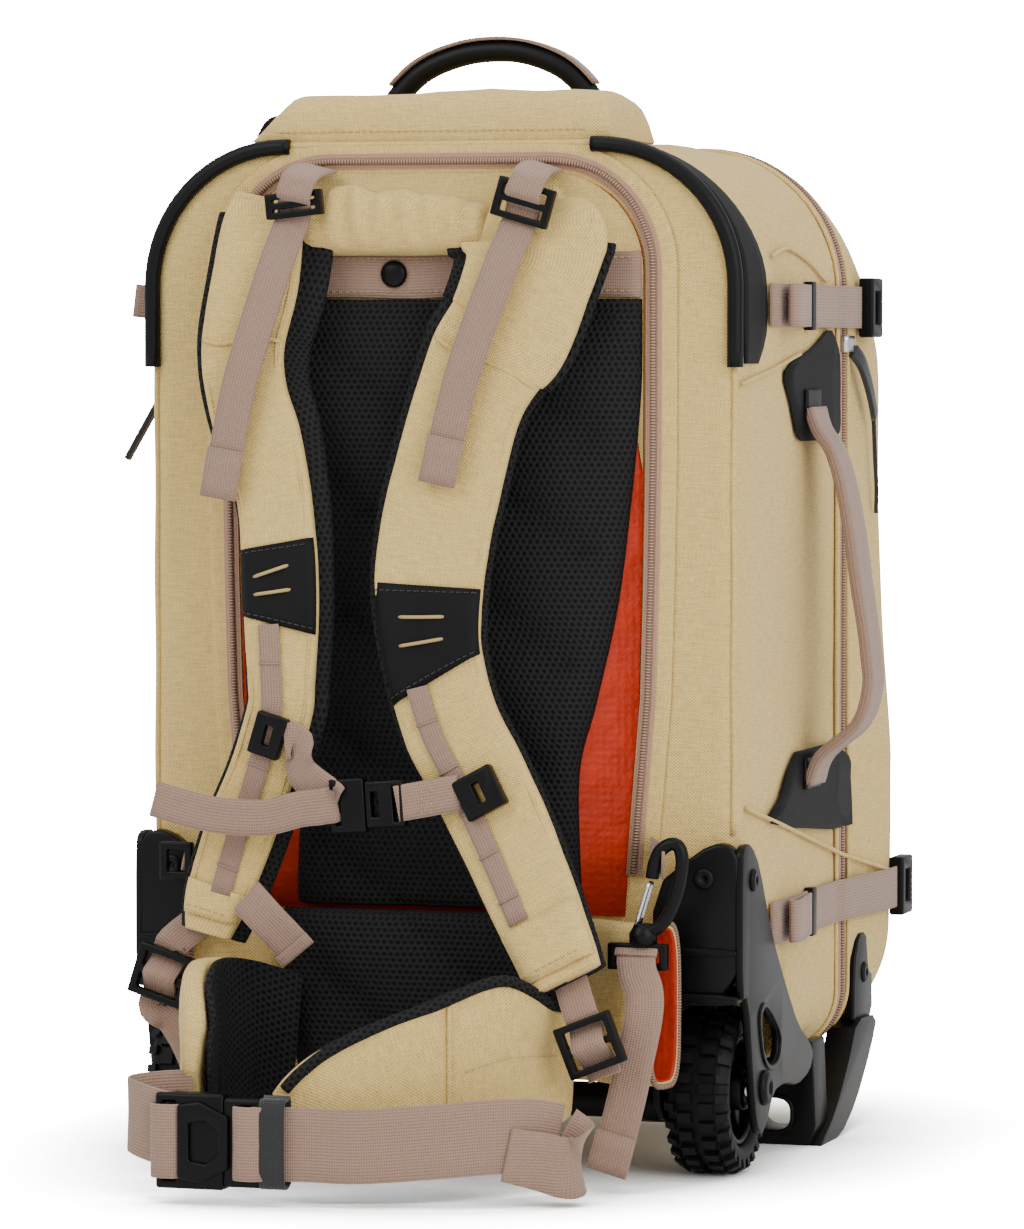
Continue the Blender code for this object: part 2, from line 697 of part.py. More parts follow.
RIGHT_STRAP = [
    StrapRow(0.940, 0.400, 0.00, 1.10),
    StrapRow(0.905, 0.370, 0.18, 1.22),
    StrapRow(0.855, 0.335, 0.46, 1.27),
    StrapRow(0.800, 0.275, 0.58, 1.18),
    StrapRow(0.750, 0.165, 0.68, 1.04),
    StrapRow(0.655, 0.072, 0.85, 1.00),
    StrapRow(0.565, 0.035, 1.00, 1.04),
    StrapRow(0.480, 0.068, 1.05, 0.94),
    StrapRow(0.390, 0.170, 1.02, 0.93),
    StrapRow(0.310, 0.315, 1.20, 0.87),
    StrapRow(0.255, 0.425, 1.55, 0.84),
    StrapRow(0.220, 0.500, 1.80, 0.80),
]
LEFT_STRAP = [
    StrapRow(0.940, -0.530, 0.02, 0.94),
    StrapRow(0.905, -0.540, 0.18, 0.98),
    StrapRow(0.855, -0.575, 0.46, 1.00),
    StrapRow(0.800, -0.595, 0.58, 1.00),
    StrapRow(0.740, -0.565, 0.68, 1.02),
    StrapRow(0.655, -0.500, 0.85, 0.92),
    StrapRow(0.565, -0.470, 1.00, 0.88),
    StrapRow(0.480, -0.470, 1.05, 0.84),
    StrapRow(0.400, -0.520, 1.02, 0.86),
    StrapRow(0.330, -0.580, 1.05, 0.86),
    StrapRow(0.280, -0.630, 1.12, 0.82),
    StrapRow(0.240, -0.675, 1.20, 0.76),
]


def strap_stations(rows, steps=2):
    """Points on the strap's underside and the widths there."""
    points = []
    widths = []
    for height, across, out, width in smooth_rows(rows, steps):
        y = BACKING_FRONT - out * STRAP_STANDOFF
        points.append(Vector((across * HALF_WIDTH, y, height * PACK_TOP)))
        widths.append(width * STRAP_WIDTH)
    return points, widths


def make_shoulder_strap(side_name, rows):
    """One padded strap: a dark mesh lining below and a cloth face above it."""
    points, widths = strap_stations(rows)
    lining_lift = -STRAP_LINING_THICKNESS / 2
    face_lift = lining_lift * 2 - PLY_GAP - STRAP_FACE_THICKNESS / 2
    wider = [width + 2 * STRAP_LINING_MARGIN for width in widths]
    band(f"strap_lining_{side_name}", "spacer_mesh", points, wider, STRAP_LINING_THICKNESS, None,
         SOFT_PROFILE, lining_lift)
    band(f"shoulder_strap_{side_name}", "canvas", points, widths, STRAP_FACE_THICKNESS, None,
         SOFT_PROFILE, face_lift)


def strap_top(rows, height, lift):
    """The place above a strap's cloth face at a height, at the middle of the strap, as a matrix."""
    points, widths = strap_stations(rows, 4)
    frames = path_frames(points)
    best = min(range(len(points)), key=lambda i: abs(points[i].z - height))
    tangent, across, out = frames[best]
    total = STRAP_LINING_THICKNESS + STRAP_FACE_THICKNESS + PLY_GAP + lift
    return placing(points[best] - out * total, across, -tangent)


# Webbing and buckles


def placing(centre, across, along):
    """A matrix whose X runs across a buckle, whose Z runs along the webbing and whose Y looks out."""
    x = across.normalized()
    z = (along - along.dot(x) * x).normalized()
    y = z.cross(x)
    return Matrix.Translation(centre) @ Matrix((x, y, z)).transposed().to_4x4()


def rectangle(width, height, cut=0.0):
    """A rectangle's outline with its corners cut off."""
    w, h = width / 2, height / 2
    if not cut:
        return [(-w, -h), (w, -h), (w, h), (-w, h)]
    return [(-w + cut, -h), (w - cut, -h), (w, -h + cut), (w, h - cut), (w - cut, h), (-w + cut, h),
            (-w, h - cut), (-w, -h + cut)]


def make_frame_buckle(name, place, width, height, thickness, bar):
    """A buckle frame: a plate with one window for the webbing."""
    plate = prism(rectangle(width, height, bar / 2), -thickness / 2, thickness / 2, "Y")
    made = add_object(name, "plastic", plate)
    boolean(made, prism(rectangle(width - 2 * bar, height - 2 * bar), -thickness, thickness, "Y"), "DIFFERENCE")
    made.data.transform(place)
    return made


def webbing(name, points, width, across_hint, steps=3, kind="webbing"):
    """A strip of webbing along a smooth curve through a few points."""
    path = [Vector(point) for point in smooth_rows(points, steps)]
    return band(name, kind, path, [width] * len(path), WEBBING_THICKNESS,
                None if across_hint is None else Vector(across_hint))


def threaded(centre, along, height):
    """Points of webbing that passes behind a frame's upper bar, through it and over its lower bar."""
    clear = LADDER_THICKNESS / 2 + WEBBING_THICKNESS / 2 + 2 * TOUCH_GAP
    half = height / 2
    swing = along.normalized()
    places = ((half + 0.002, clear), (half - LADDER_BAR, clear), (-half + LADDER_BAR, -clear),
              (-half - 0.002, -clear))
    return [centre + swing * up + Vector((0, out, 0)) for up, out in places]


LIFTER_PLACE = HARNESS_ZIP_TOP - 0.024
LIFTER_STANDOFF = 0.0292
LIFTER_LEAN = 0.29


def make_lifter(side_name, start, buckle, tail_length):
    """A load lifter: webbing from the harness top through its buckle, and the tail that hangs down."""
    along = Vector((LIFTER_LEAN, 0, 1))
    across = Vector((1, 0, -LIFTER_LEAN))
    centre = Vector((buckle, -LIFTER_STANDOFF, LIFTER_PLACE))
    make_frame_buckle(f"lifter_buckle_{side_name}", placing(centre, across, along), LADDER_WIDTH,
                      LIFTER_BUCKLE_HEIGHT, LADDER_THICKNESS, LADDER_BAR)
    through = threaded(centre, along, LIFTER_BUCKLE_HEIGHT)
    fall = -along.normalized() * tail_length
    points = [
        Vector((start, -0.0095, HARNESS_ZIP_TOP - 0.002)),
        Vector((start + 0.5 * (through[0].x - start), -0.0180, HARNESS_ZIP_TOP - 0.003)),
        *through,
        through[-1] + fall * 0.20 + Vector((0, -0.0095, 0)),
        through[-1] + fall * 0.60 + Vector((0, -0.0160, 0)),
        through[-1] + fall + Vector((0, -0.0220, 0)),
    ]
    webbing(f"lifter_webbing_{side_name}", points, LIFTER_WIDTH, across, 2)


def make_chest_strap():
    """The chest strap: a slider on each shoulder strap, webbing and a fastened buckle between them."""
    places = {}
    for side_name, rows, height in (("left", LEFT_STRAP, 0.252), ("right", RIGHT_STRAP, 0.220)):
        place = strap_top(rows, height, 2 * TOUCH_GAP + SLIDER_THICKNESS / 2)
        block = prism(rectangle(SLIDER_SIZE, SLIDER_SIZE * 0.9, 0.004), -SLIDER_THICKNESS / 2,
                      SLIDER_THICKNESS / 2, "Y")
        made = add_object(f"chest_slider_{side_name}", "plastic", block)
        made.data.transform(place)
        places[side_name] = place.translation
    left, right = places["left"], places["right"]
    buckle = Vector((-0.0205, right.y - 0.004, 0.214))
    half = CHEST_BUCKLE_LENGTH / 2
    split = buckle.x - half + CHEST_BUCKLE_LENGTH * 0.45
    tilt = Matrix.Translation(buckle) @ Matrix.Rotation(math.radians(-4), 4, "Y") @ Matrix.Translation(-buckle)
    halves = {
        "chest_buckle_socket": (buckle.x - half, split - SEAM_GAP, 1.0),
        "chest_buckle_tongue": (split, buckle.x + half, 0.86),
    }
    for name, (low, high, share) in halves.items():
        outline = [(x + (low + high) / 2, z + buckle.z)
                   for x, z in rectangle(high - low, CHEST_BUCKLE_HEIGHT * share, 0.003)]
        block = add_object(name, "plastic", prism(outline, buckle.y - CHEST_BUCKLE_THICKNESS / 2,
                                                  buckle.y + CHEST_BUCKLE_THICKNESS / 2, "Y"))
        block.data.transform(tilt)
    start = left + Vector((SLIDER_SIZE / 2 + 0.0045, 0, -0.003))
    turn = buckle + Vector((-half - 0.0086, 0, 0.002))
    back = Vector((0, -0.0055, -0.006))
    webbing("chest_webbing_left", [
        start, start + Vector((0.004, 0, -0.001)), start.lerp(turn, 0.55), turn,
        turn + Vector((0.0012, -0.0028, -0.002)), turn + back,
        turn + Vector((-0.022, -0.010, -0.010)), turn + Vector((-0.055, -0.015, -0.007)),
        turn + Vector((-0.084, -0.017, 0.001)),
    ], CHEST_WEBBING, (0.1, 0, 1), 2)
    start = buckle + Vector((half + 0.0030, 0, 0.001))
    end = right - Vector((SLIDER_SIZE / 2 + 0.0045, 0, 0))
    webbing("chest_webbing_right", [start, start.lerp(end, 0.5), end], CHEST_WEBBING, (0, 0, 1))


# Hip belt: across as a share of half the pack's width, reach as a share of the belt's reach,
# low and high as shares of the belt's height above its lowest edge

BeltRow = namedtuple("BeltRow", "across reach low high thickness")

BELT_FLOOR = 0.012
RIGHT_BELT = [
    BeltRow(0.390, 0.252, 0.36, 0.90, 0.45),
    BeltRow(0.500, 0.320, 0.30, 0.90, 0.95),
    BeltRow(0.480, 0.430, 0.24, 0.92, 1.00),
    BeltRow(0.380, 0.620, 0.14, 1.08, 1.00),
    BeltRow(0.200, 0.800, 0.06, 0.95, 1.00),
    BeltRow(-0.020, 0.885, 0.01, 0.78, 0.95),
    BeltRow(-0.150, 0.915, 0.02, 0.62, 0.80),
    BeltRow(-0.215, 0.925, 0.06, 0.50, 0.45),
]
LEFT_BELT = [
    BeltRow(-0.400, 0.262, 0.36, 1.02, 0.50),
    BeltRow(-0.540, 0.320, 0.32, 1.10, 0.95),
    BeltRow(-0.600, 0.470, 0.26, 1.14, 1.00),
    BeltRow(-0.585, 0.620, 0.20, 1.10, 1.00),
    BeltRow(-0.550, 0.730, 0.18, 0.86, 0.90),
    BeltRow(-0.530, 0.800, 0.22, 0.62, 0.45),
]


def make_belt_wing(name, rows):
    """A padded wing of the hip belt, standing on edge and curving round to the front."""
    points = []
    widths = []
    deeps = []
    for across, reach, low, high, thickness in smooth_rows(rows, 2):
        middle = BELT_FLOOR + BELT_HEIGHT * (low + high) / 2
        points.append(Vector((across * HALF_WIDTH, -reach * BELT_REACH, middle)))
        widths.append(BELT_HEIGHT * (high - low))
        deeps.append(BELT_THICKNESS * thickness)
    rings = []
    for point, (tangent, across, out), width, deep in zip(points, path_frames(points, Vector((0, 0, 1))),
                                                          widths, deeps):
        rings.append([point + across * (a * width / 2) + out * (b * deep / 2) for a, b in PADDED_PROFILE])
    add_object(name, "canvas", lofted(rings))


HIP_PLACE = -0.176
HIP_MIDDLE = 0.035


def block(name, kind, low, high, cut=0.0):
    """A block between two corners, with the edges along Y cut off."""
    width, height = high[0] - low[0], high[2] - low[2]
    outline = [(x + low[0] + width / 2, z + low[2] + height / 2) for x, z in rectangle(width, height, cut)]
    return add_object(name, kind, prism(outline, low[1], high[1], "Y"))


def make_hip_buckle():
    """The fastened hip buckle, its webbing loop and the long webbing in front of the belt."""
    deep = BELT_BUCKLE_THICKNESS / 2
    high = BELT_BUCKLE_HEIGHT / 2
    socket_start, split, end = -0.104, -0.066, -0.044
    block("hip_buckle_socket", "plastic", (socket_start, HIP_PLACE - deep, HIP_MIDDLE - high),
          (split - SEAM_GAP, HIP_PLACE + deep, HIP_MIDDLE + high), 0.005)
    block("hip_buckle_tongue", "plastic", (split, HIP_PLACE - deep * 0.8, HIP_MIDDLE - high * 0.94),
          (end, HIP_PLACE + deep * 0.8, HIP_MIDDLE + high * 0.94), 0.004)
    webbing("hip_webbing", [(end + TOUCH_GAP, HIP_PLACE, HIP_MIDDLE), (-0.020, HIP_PLACE, HIP_MIDDLE),
                            (0.010, HIP_PLACE + 0.001, HIP_MIDDLE), (0.050, HIP_PLACE + 0.010, HIP_MIDDLE + 0.003),
                            (0.078, HIP_PLACE + 0.024, HIP_MIDDLE + 0.005),
                            (0.096, HIP_PLACE + 0.041, HIP_MIDDLE + 0.004)], BELT_WEBBING, (0, 0, 1))
    webbing("hip_loop", [(-0.0965, -0.1475, 0.050), (-0.112, -0.149, 0.049), (-0.125, -0.157, 0.048),
                         (-0.127, -0.167, 0.047), (-0.118, -0.175, 0.045),
                         (socket_start - 0.0010, HIP_PLACE, 0.045)], BELT_WEBBING, (0, 0, 1))


# Lower straps of the shoulder harness and the snap hook

LowerStrap = namedtuple("LowerStrap", "side_name rows buckle along below tail_across tail")

LOWER_STRAPS = [
    LowerStrap("right", RIGHT_STRAP, (0.1165, -0.0900, 0.0850), (-0.40, 0, 1), [], (1, 0, 0), [
        (0.1325, -0.0450, 0.1308), (0.1325, -0.0500, 0.1308), (0.1325, -0.0550, 0.1300),
        (0.1350, -0.0590, 0.1220), (0.1400, -0.0640, 0.1120), (0.1410, -0.0700, 0.0980),
        (0.1320, -0.0745, 0.0500), (0.1215, -0.0740, 0.0120),
    ]),
    LowerStrap("left", LEFT_STRAP, (-0.1495, -0.0560, 0.1110), (0.9, 0, 1.0), [
        (-0.1680, -0.0590, 0.0900), (-0.1660, -0.0560, 0.0780), (-0.1520, -0.0450, 0.0560),
        (-0.1460, -0.0320, 0.0430),
    ], (1, 0, -1), [
        (-0.0950, -0.0745, 0.1620), (-0.0850, -0.0755, 0.1530), (-0.0700, -0.0735, 0.1360),
        (-0.0620, -0.0715, 0.1260),
    ]),
]


def make_lower_strap(strap):
    """The strap below a shoulder strap: its buckle, the webbing through it and the loose tail."""
    along = Vector(strap.along)
    centre = Vector(strap.buckle)
    across = Vector((along.z, 0, -along.x)).normalized()
    make_frame_buckle(f"lower_buckle_{strap.side_name}", placing(centre, across, along), LADDER_WIDTH,
                      LADDER_HEIGHT, LADDER_THICKNESS, LADDER_BAR)
    stations, _ = strap_stations(strap.rows)
    behind = 2 * SEAM_GAP + WEBBING_THICKNESS / 2
    frames = path_frames(stations)
    tucked = [stations[i] + frames[i][2] * behind for i in (-2, -1)]
    points = tucked + threaded(centre, along, LADDER_HEIGHT) + [Vector(point) for point in strap.below]
    webbing(f"lower_webbing_{strap.side_name}", points, LIFTER_WIDTH, None, 2)
    webbing(f"lower_tail_{strap.side_name}", strap.tail, LIFTER_WIDTH, strap.tail_across, 2)


def make_hook():
    """The snap hook that holds the harness to the pack: a forged ring, a wire gate and a swivel."""
    y = -HOOK_PLACE
    HookRow = namedtuple("HookRow", "across height")
    rows = [HookRow(0.30, 0.62), HookRow(0.42, 0.86), HookRow(0.72, 1.02), HookRow(0.98, 0.98),
            HookRow(1.00, 0.74), HookRow(0.86, 0.42), HookRow(0.66, 0.16), HookRow(0.30, 0.0)]
    points = [
        Vector((HOOK_ACROSS + across * HOOK_REACH, y, HOOK_FOOT + height * HOOK_HEIGHT))
        for across, height in smooth_rows(rows, 2)
    ]
    hook = add_object("snap_hook", "plastic", tube_mesh(points, HOOK_WIRE, 8, Vector((0, 1, 0))))
    collar = []
    for height, radius in ((-0.0075, 0.0055), (-0.0065, 0.0068), (-0.0010, 0.0068), (0.0022, 0.0045)):
        centre = Vector((HOOK_ACROSS + 0.002, y, HOOK_FOOT + height))
        collar.append([
            centre + Vector((radius * math.cos(a), radius * math.sin(a), 0))
            for a in (math.tau * k / 12 for k in range(12))
        ])
    boolean(hook, lofted(collar), "UNION")
    eye_low, eye_high = HOOK_FOOT - 0.0225, HOOK_FOOT - 0.0079
    eye_half, eye_bar = 0.0172, 0.0038
    middle = HOOK_ACROSS - 0.001
    eye = block("hook_swivel", "plastic", (middle - eye_half, y - 0.0028, eye_low),
                (middle + eye_half, y + 0.0028, eye_high), 0.004)
    window = [(middle - eye_half + eye_bar, eye_low + eye_bar), (middle + eye_half - eye_bar, eye_low + eye_bar),
              (middle + eye_half - eye_bar, eye_high - eye_bar), (middle - eye_half + eye_bar, eye_high - eye_bar)]
    boolean(eye, prism(window, y - 0.01, y + 0.01, "Y"), "DIFFERENCE")
    make_gate(y)
    webbing("hook_loop", [(0.1300, -0.0035, 0.1840), (0.1300, -0.0110, 0.1860), (0.1350, -0.0300, 0.1880),
                          (0.1445, -0.0452, 0.1850)], 0.016, (0, 0, 1), 2)


def make_gate(y):
    """The wire gate: a loop of wire that closes the hook and swings inwards on its foot."""
    foot = Vector((HOOK_ACROSS - 0.0010, y, HOOK_FOOT + 0.0032))
    tip = Vector((HOOK_ACROSS + 0.0062, y, HOOK_FOOT + 0.0264))
    half = Vector((0, GATE_WIDTH, 0))
    corner = foot.lerp(tip, 0.9)
    points = [foot - half, corner - half, tip - half * 0.6, tip + half * 0.6, corner + half, foot + half]
    rings = []
    for point, (tangent, across, out) in zip(points, path_frames(points, (tip - foot).cross(half))):
        rings.append([
            point + across * (GATE_WIRE * math.cos(a)) + out * (GATE_WIRE * math.sin(a))
            for a in (math.tau * k / 6 for k in range(6))
        ])
    gate = add_object("hook_gate", "steel", lofted(rings))
    gate.data.transform(Matrix.Translation(-foot))
    gate.location = foot


# Sides of the pack


def make_compression_strap(prefix, height, start, buckle_place):
    """A compression strap round the pack: along both sides, over the front panel, with two buckles."""
    lift = 3 * TOUCH_GAP + WEBBING_THICKNESS / 2
    over_zip = lift + ZIP_THICKNESS
    edge = MAIN_ZIP_WIDTH / 2 + 0.003
    lifts = {start: lift, 0.5 * (start + SHELL_DEPTH): lift, SHELL_DEPTH - edge - 0.006: lift,
             SHELL_DEPTH - edge: over_zip, SHELL_DEPTH + edge: over_zip}
    for row in PANEL_ROWS[2:]:
        lifts[PANEL_START + PANEL_DEPTH * row.depth] = lift
    band_edges = (height - COMPRESSION_WEBBING / 2, height, height + COMPRESSION_WEBBING / 2)
    surface = [
        (Vector((max(side_reach(depth, z) for z in band_edges), depth, height)), off)
        for depth, off in lifts.items()
    ]
    corner = surface[-1][0]
    surface += [(corner + Vector((-drop, 0, 0)), lift) for drop in (0.006, 0.030)]
    places = [point for point, _ in surface]
    half = []
    for (point, off), (tangent, _, out) in zip(surface, path_frames(places, Vector((0, 0, 1)))):
        turn = 1.35 if point == corner else 1.0
        half.append(point - out * off * turn)
    points = half + [Vector((-point.x, point.y, point.z)) for point in reversed(half)]
    band(f"compression_strap_{prefix}", "webbing", points, [COMPRESSION_WEBBING] * len(points),
         WEBBING_THICKNESS, Vector((0, 0, 1)))
    run = [point for point in half if point.y < PACK_DEPTH]
    ends = [buckle_place + k * SIDE_BUCKLE_LENGTH / 2 for k in (-1, -0.5, 0, 0.5, 1)]
    reach = max(np.interp(ends, [point.y for point in run], [point.x for point in run]))
    reach = float(reach) + WEBBING_THICKNESS / 2 + TOUCH_GAP
    outline = [(y + buckle_place, z + height)
               for y, z in rectangle(SIDE_BUCKLE_LENGTH, SIDE_BUCKLE_HEIGHT, 0.004)]
    made = add_object(f"compression_buckle_{prefix}_right", "plastic",
                      prism(outline, reach, reach + SIDE_BUCKLE_THICKNESS, "X"))
    mirrored(made, f"compression_buckle_{prefix}_left")


def make_side_handle():
    """The side carry handle, a webbing arch that stands off the pack's right side."""
    HandleRow = namedtuple("HandleRow", "height standoff")
    rows = [HandleRow(1.0, 0.02), HandleRow(0.90, 0.36), HandleRow(0.76, 0.62), HandleRow(0.55, 0.80),
            HandleRow(0.34, 0.98), HandleRow(0.24, 1.0), HandleRow(0.14, 0.80), HandleRow(0.0, 0.02)]
    points = []
    for height, standoff in smooth_rows(rows, 2):
        z = SIDE_HANDLE_BOTTOM + (SIDE_HANDLE_TOP - SIDE_HANDLE_BOTTOM) * height
        lift = TOUCH_GAP + SIDE_HANDLE_THICKNESS / 2
        points.append(Vector((HALF_WIDTH + lift + standoff * SIDE_HANDLE_STANDOFF, SIDE_HANDLE_PLACE, z)))
    band("side_handle", "webbing", points, [SIDE_HANDLE_WIDTH] * len(points), SIDE_HANDLE_THICKNESS,
         Vector((0, 1, 0)), SOFT_PROFILE)


# Wheels, housings and feet


def turned(profile, segments):
    """A bmesh ring turned about X: a closed profile of (across, radius) points."""
    rings = []
    for k in range(segments):
        angle = math.tau * k / segments
        rings.append([Vector((x, r * math.cos(angle), r * math.sin(angle))) for x, r in profile])
    return lofted(rings, closed=True)


def make_tyre():
    """A knobbly tyre: a turned ring whose tread faces are raised in two staggered rows."""
    half = WHEEL_WIDTH / 2
    base = WHEEL_RADIUS - TREAD_HEIGHT
    profile = [(-half * 0.72, RIM_RADIUS), (half * 0.72, RIM_RADIUS), (half * 0.98, RIM_RADIUS + 0.003),
               (half, base - 0.006), (half * 0.80, base - 0.0012), (half * 0.06, base), (-half * 0.06, base),
               (-half * 0.80, base - 0.0012), (-half, base - 0.006), (-half * 0.98, RIM_RADIUS + 0.003)]
    mesh_data = turned(profile, TREAD_STEPS)
    mesh_data.normal_update()
    bmesh.ops.recalc_face_normals(mesh_data, faces=mesh_data.faces)
    knobs = []
    for face in mesh_data.faces:
        centre = face.calc_center_median()
        radius = math.hypot(centre.y, centre.z)
        step = int(round(math.atan2(centre.z, centre.y) / math.tau * TREAD_STEPS - 0.5)) % TREAD_STEPS
        inner_row = abs(centre.x) > half * 0.2 and radius > base - 0.003
        shoulder = abs(centre.x) > half * 0.82 and radius > base - 0.005
        if (inner_row and step % 2 == (centre.x > 0)) or (shoulder and step % 2 != (centre.x > 0)):
            knobs.append(face)
    for face in knobs:
        bmesh.ops.inset_individual(mesh_data, faces=[face], thickness=KNOB_INSET, depth=0.0)
        raised = bmesh.ops.extrude_discrete_faces(mesh_data, faces=[face])["faces"][0]
        centre = raised.calc_center_median()
        spoke = Vector((0, centre.y, centre.z)).normalized()
        bmesh.ops.translate(mesh_data, verts=raised.verts, vec=spoke * KNOB_RISE)
    return mesh_data


def make_wheel(side, side_name):
    """A wheel on one side: the tyre and the spoked hub that turn together."""
    centre = Vector((side * WHEEL_ACROSS, WHEEL_PLACE, WHEEL_RADIUS))
    tyre = add_object(f"tyre_{side_name}", "tyre", make_tyre())
    outer = RIM_RADIUS - SEAM_GAP
    rim = [(-RIM_WIDTH / 2, outer), (RIM_WIDTH / 2, outer), (RIM_WIDTH / 2, outer - RIM_WALL),
           (-RIM_WIDTH / 2, outer - RIM_WALL)]
    hub = add_object(f"hub_{side_name}", "plastic", turned(rim, TREAD_STEPS))
    bore = AXLE_RADIUS + AXLE_CLEARANCE
    boss = [(-WHEEL_WIDTH / 2, HUB_RADIUS), (WHEEL_WIDTH / 2, HUB_RADIUS), (WHEEL_WIDTH / 2, bore),
            (-WHEEL_WIDTH / 2, bore)]
    boolean(hub, turned(boss, BORE_STEPS), "UNION")
    for k in range(SPOKE_COUNT):
        spoke = prism([(-SPOKE_WIDTH / 2, HUB_RADIUS * 0.8), (SPOKE_WIDTH / 2, HUB_RADIUS * 0.8),
                       (SPOKE_WIDTH / 2, outer - RIM_WALL / 2), (-SPOKE_WIDTH / 2, outer - RIM_WALL / 2)],
                      -RIM_WIDTH * 0.3, RIM_WIDTH * 0.3, "X")
        bmesh.ops.transform(spoke, matrix=Matrix.Rotation(math.tau * k / SPOKE_COUNT, 4, "X"), verts=spoke.verts)
        boolean(hub, spoke, "UNION")
    for made in (tyre, hub):
        made.location = centre


HOUSING_OUTLINE = [
    (-0.012, 0.104), (-0.012, 0.184), (-0.007, 0.191), (0.008, 0.191), (0.026, 0.178), (0.053, 0.137),
    (0.086, 0.103), (0.116, 0.076), (0.142, 0.064), (0.151, 0.056), (0.142, 0.046), (0.114, 0.041),
    (0.084, 0.046), (0.058, 0.044), (0.043, 0.027), (0.031, 0.022), (0.020, 0.029), (0.012, 0.054),
    (0.001, 0.104),
]
HOUSING_WINDOW = [(0.026, 0.090), (0.038, 0.097), (0.072, 0.076), (0.066, 0.062), (0.048, 0.060), (0.034, 0.068)]


def make_housing(side_name):
    """A wheel housing: a front plate, a side plate with a window, an inner wall and the fixed axle."""
    near = HALF_WIDTH + TOUCH_GAP
    far = near + HOUSING_WALL
    front = -HOUSING_FRONT_DEPTH
    plate = add_object(f"wheel_housing_{side_name}", "plastic", prism(HOUSING_OUTLINE, near, far, "X"))
    boolean(plate, prism(HOUSING_WINDOW, near - 0.01, far + 0.01, "X"), "DIFFERENCE")
    inner = WHEEL_ACROSS - WHEEL_WIDTH / 2 - WHEEL_GAP - HOUSING_WALL
    face = [(inner, ARCH_TOP), (far - 0.001, ARCH_TOP), (far - 0.001, HOUSING_TOP - 0.010),
            (far - 0.010, HOUSING_TOP + 0.001), (WHEEL_ACROSS, HOUSING_TOP - 0.005), (inner, HOUSING_TOP - 0.026)]
    boolean(plate, prism(face, front + 0.001, -TOUCH_GAP, "Y"), "UNION")
    wall = [(front, BEAM_HEIGHT - BEAM_RADIUS), (WELL_DEPTH - 0.03, BEAM_HEIGHT - BEAM_RADIUS),
            (WELL_DEPTH - 0.03, WELL_TOP - 0.004), (front, WELL_TOP - 0.004)]
    boolean(plate, prism(wall, inner, inner + HOUSING_WALL, "X"), "UNION")
    roof = [(front, ARCH_TOP), (WELL_DEPTH - 0.03, ARCH_TOP), (WELL_DEPTH - 0.03, WELL_TOP - 0.001),
            (front, WELL_TOP - 0.001)]
    boolean(plate, prism(roof, inner, far - 0.001, "X"), "UNION")
    axle = turned_rod(AXLE_RADIUS, inner + HOUSING_WALL / 2, near + HOUSING_WALL / 2)
    bmesh.ops.translate(axle, verts=axle.verts, vec=(0, WHEEL_PLACE, WHEEL_RADIUS))
    boolean(plate, axle, "UNION")
    return plate


def turned_rod(radius, low, high, sides=24):
    """A bmesh rod along X."""
    turns = [math.tau * k / sides for k in range(sides)]
    ring = [(radius * math.cos(turn), radius * math.sin(turn)) for turn in turns]
    return prism(ring, low, high, "X")


def make_beam():
    """The beam between the wheel housings under the pack."""
    inner = WHEEL_ACROSS - WHEEL_WIDTH / 2 - WHEEL_GAP - HOUSING_WALL - SEAM_GAP
    beam = turned_rod(BEAM_RADIUS, -inner, inner, 16)
    bmesh.ops.translate(beam, verts=beam.verts, vec=(0, WHEEL_PLACE, BEAM_HEIGHT))
    add_object("axle_beam", "plastic", beam)


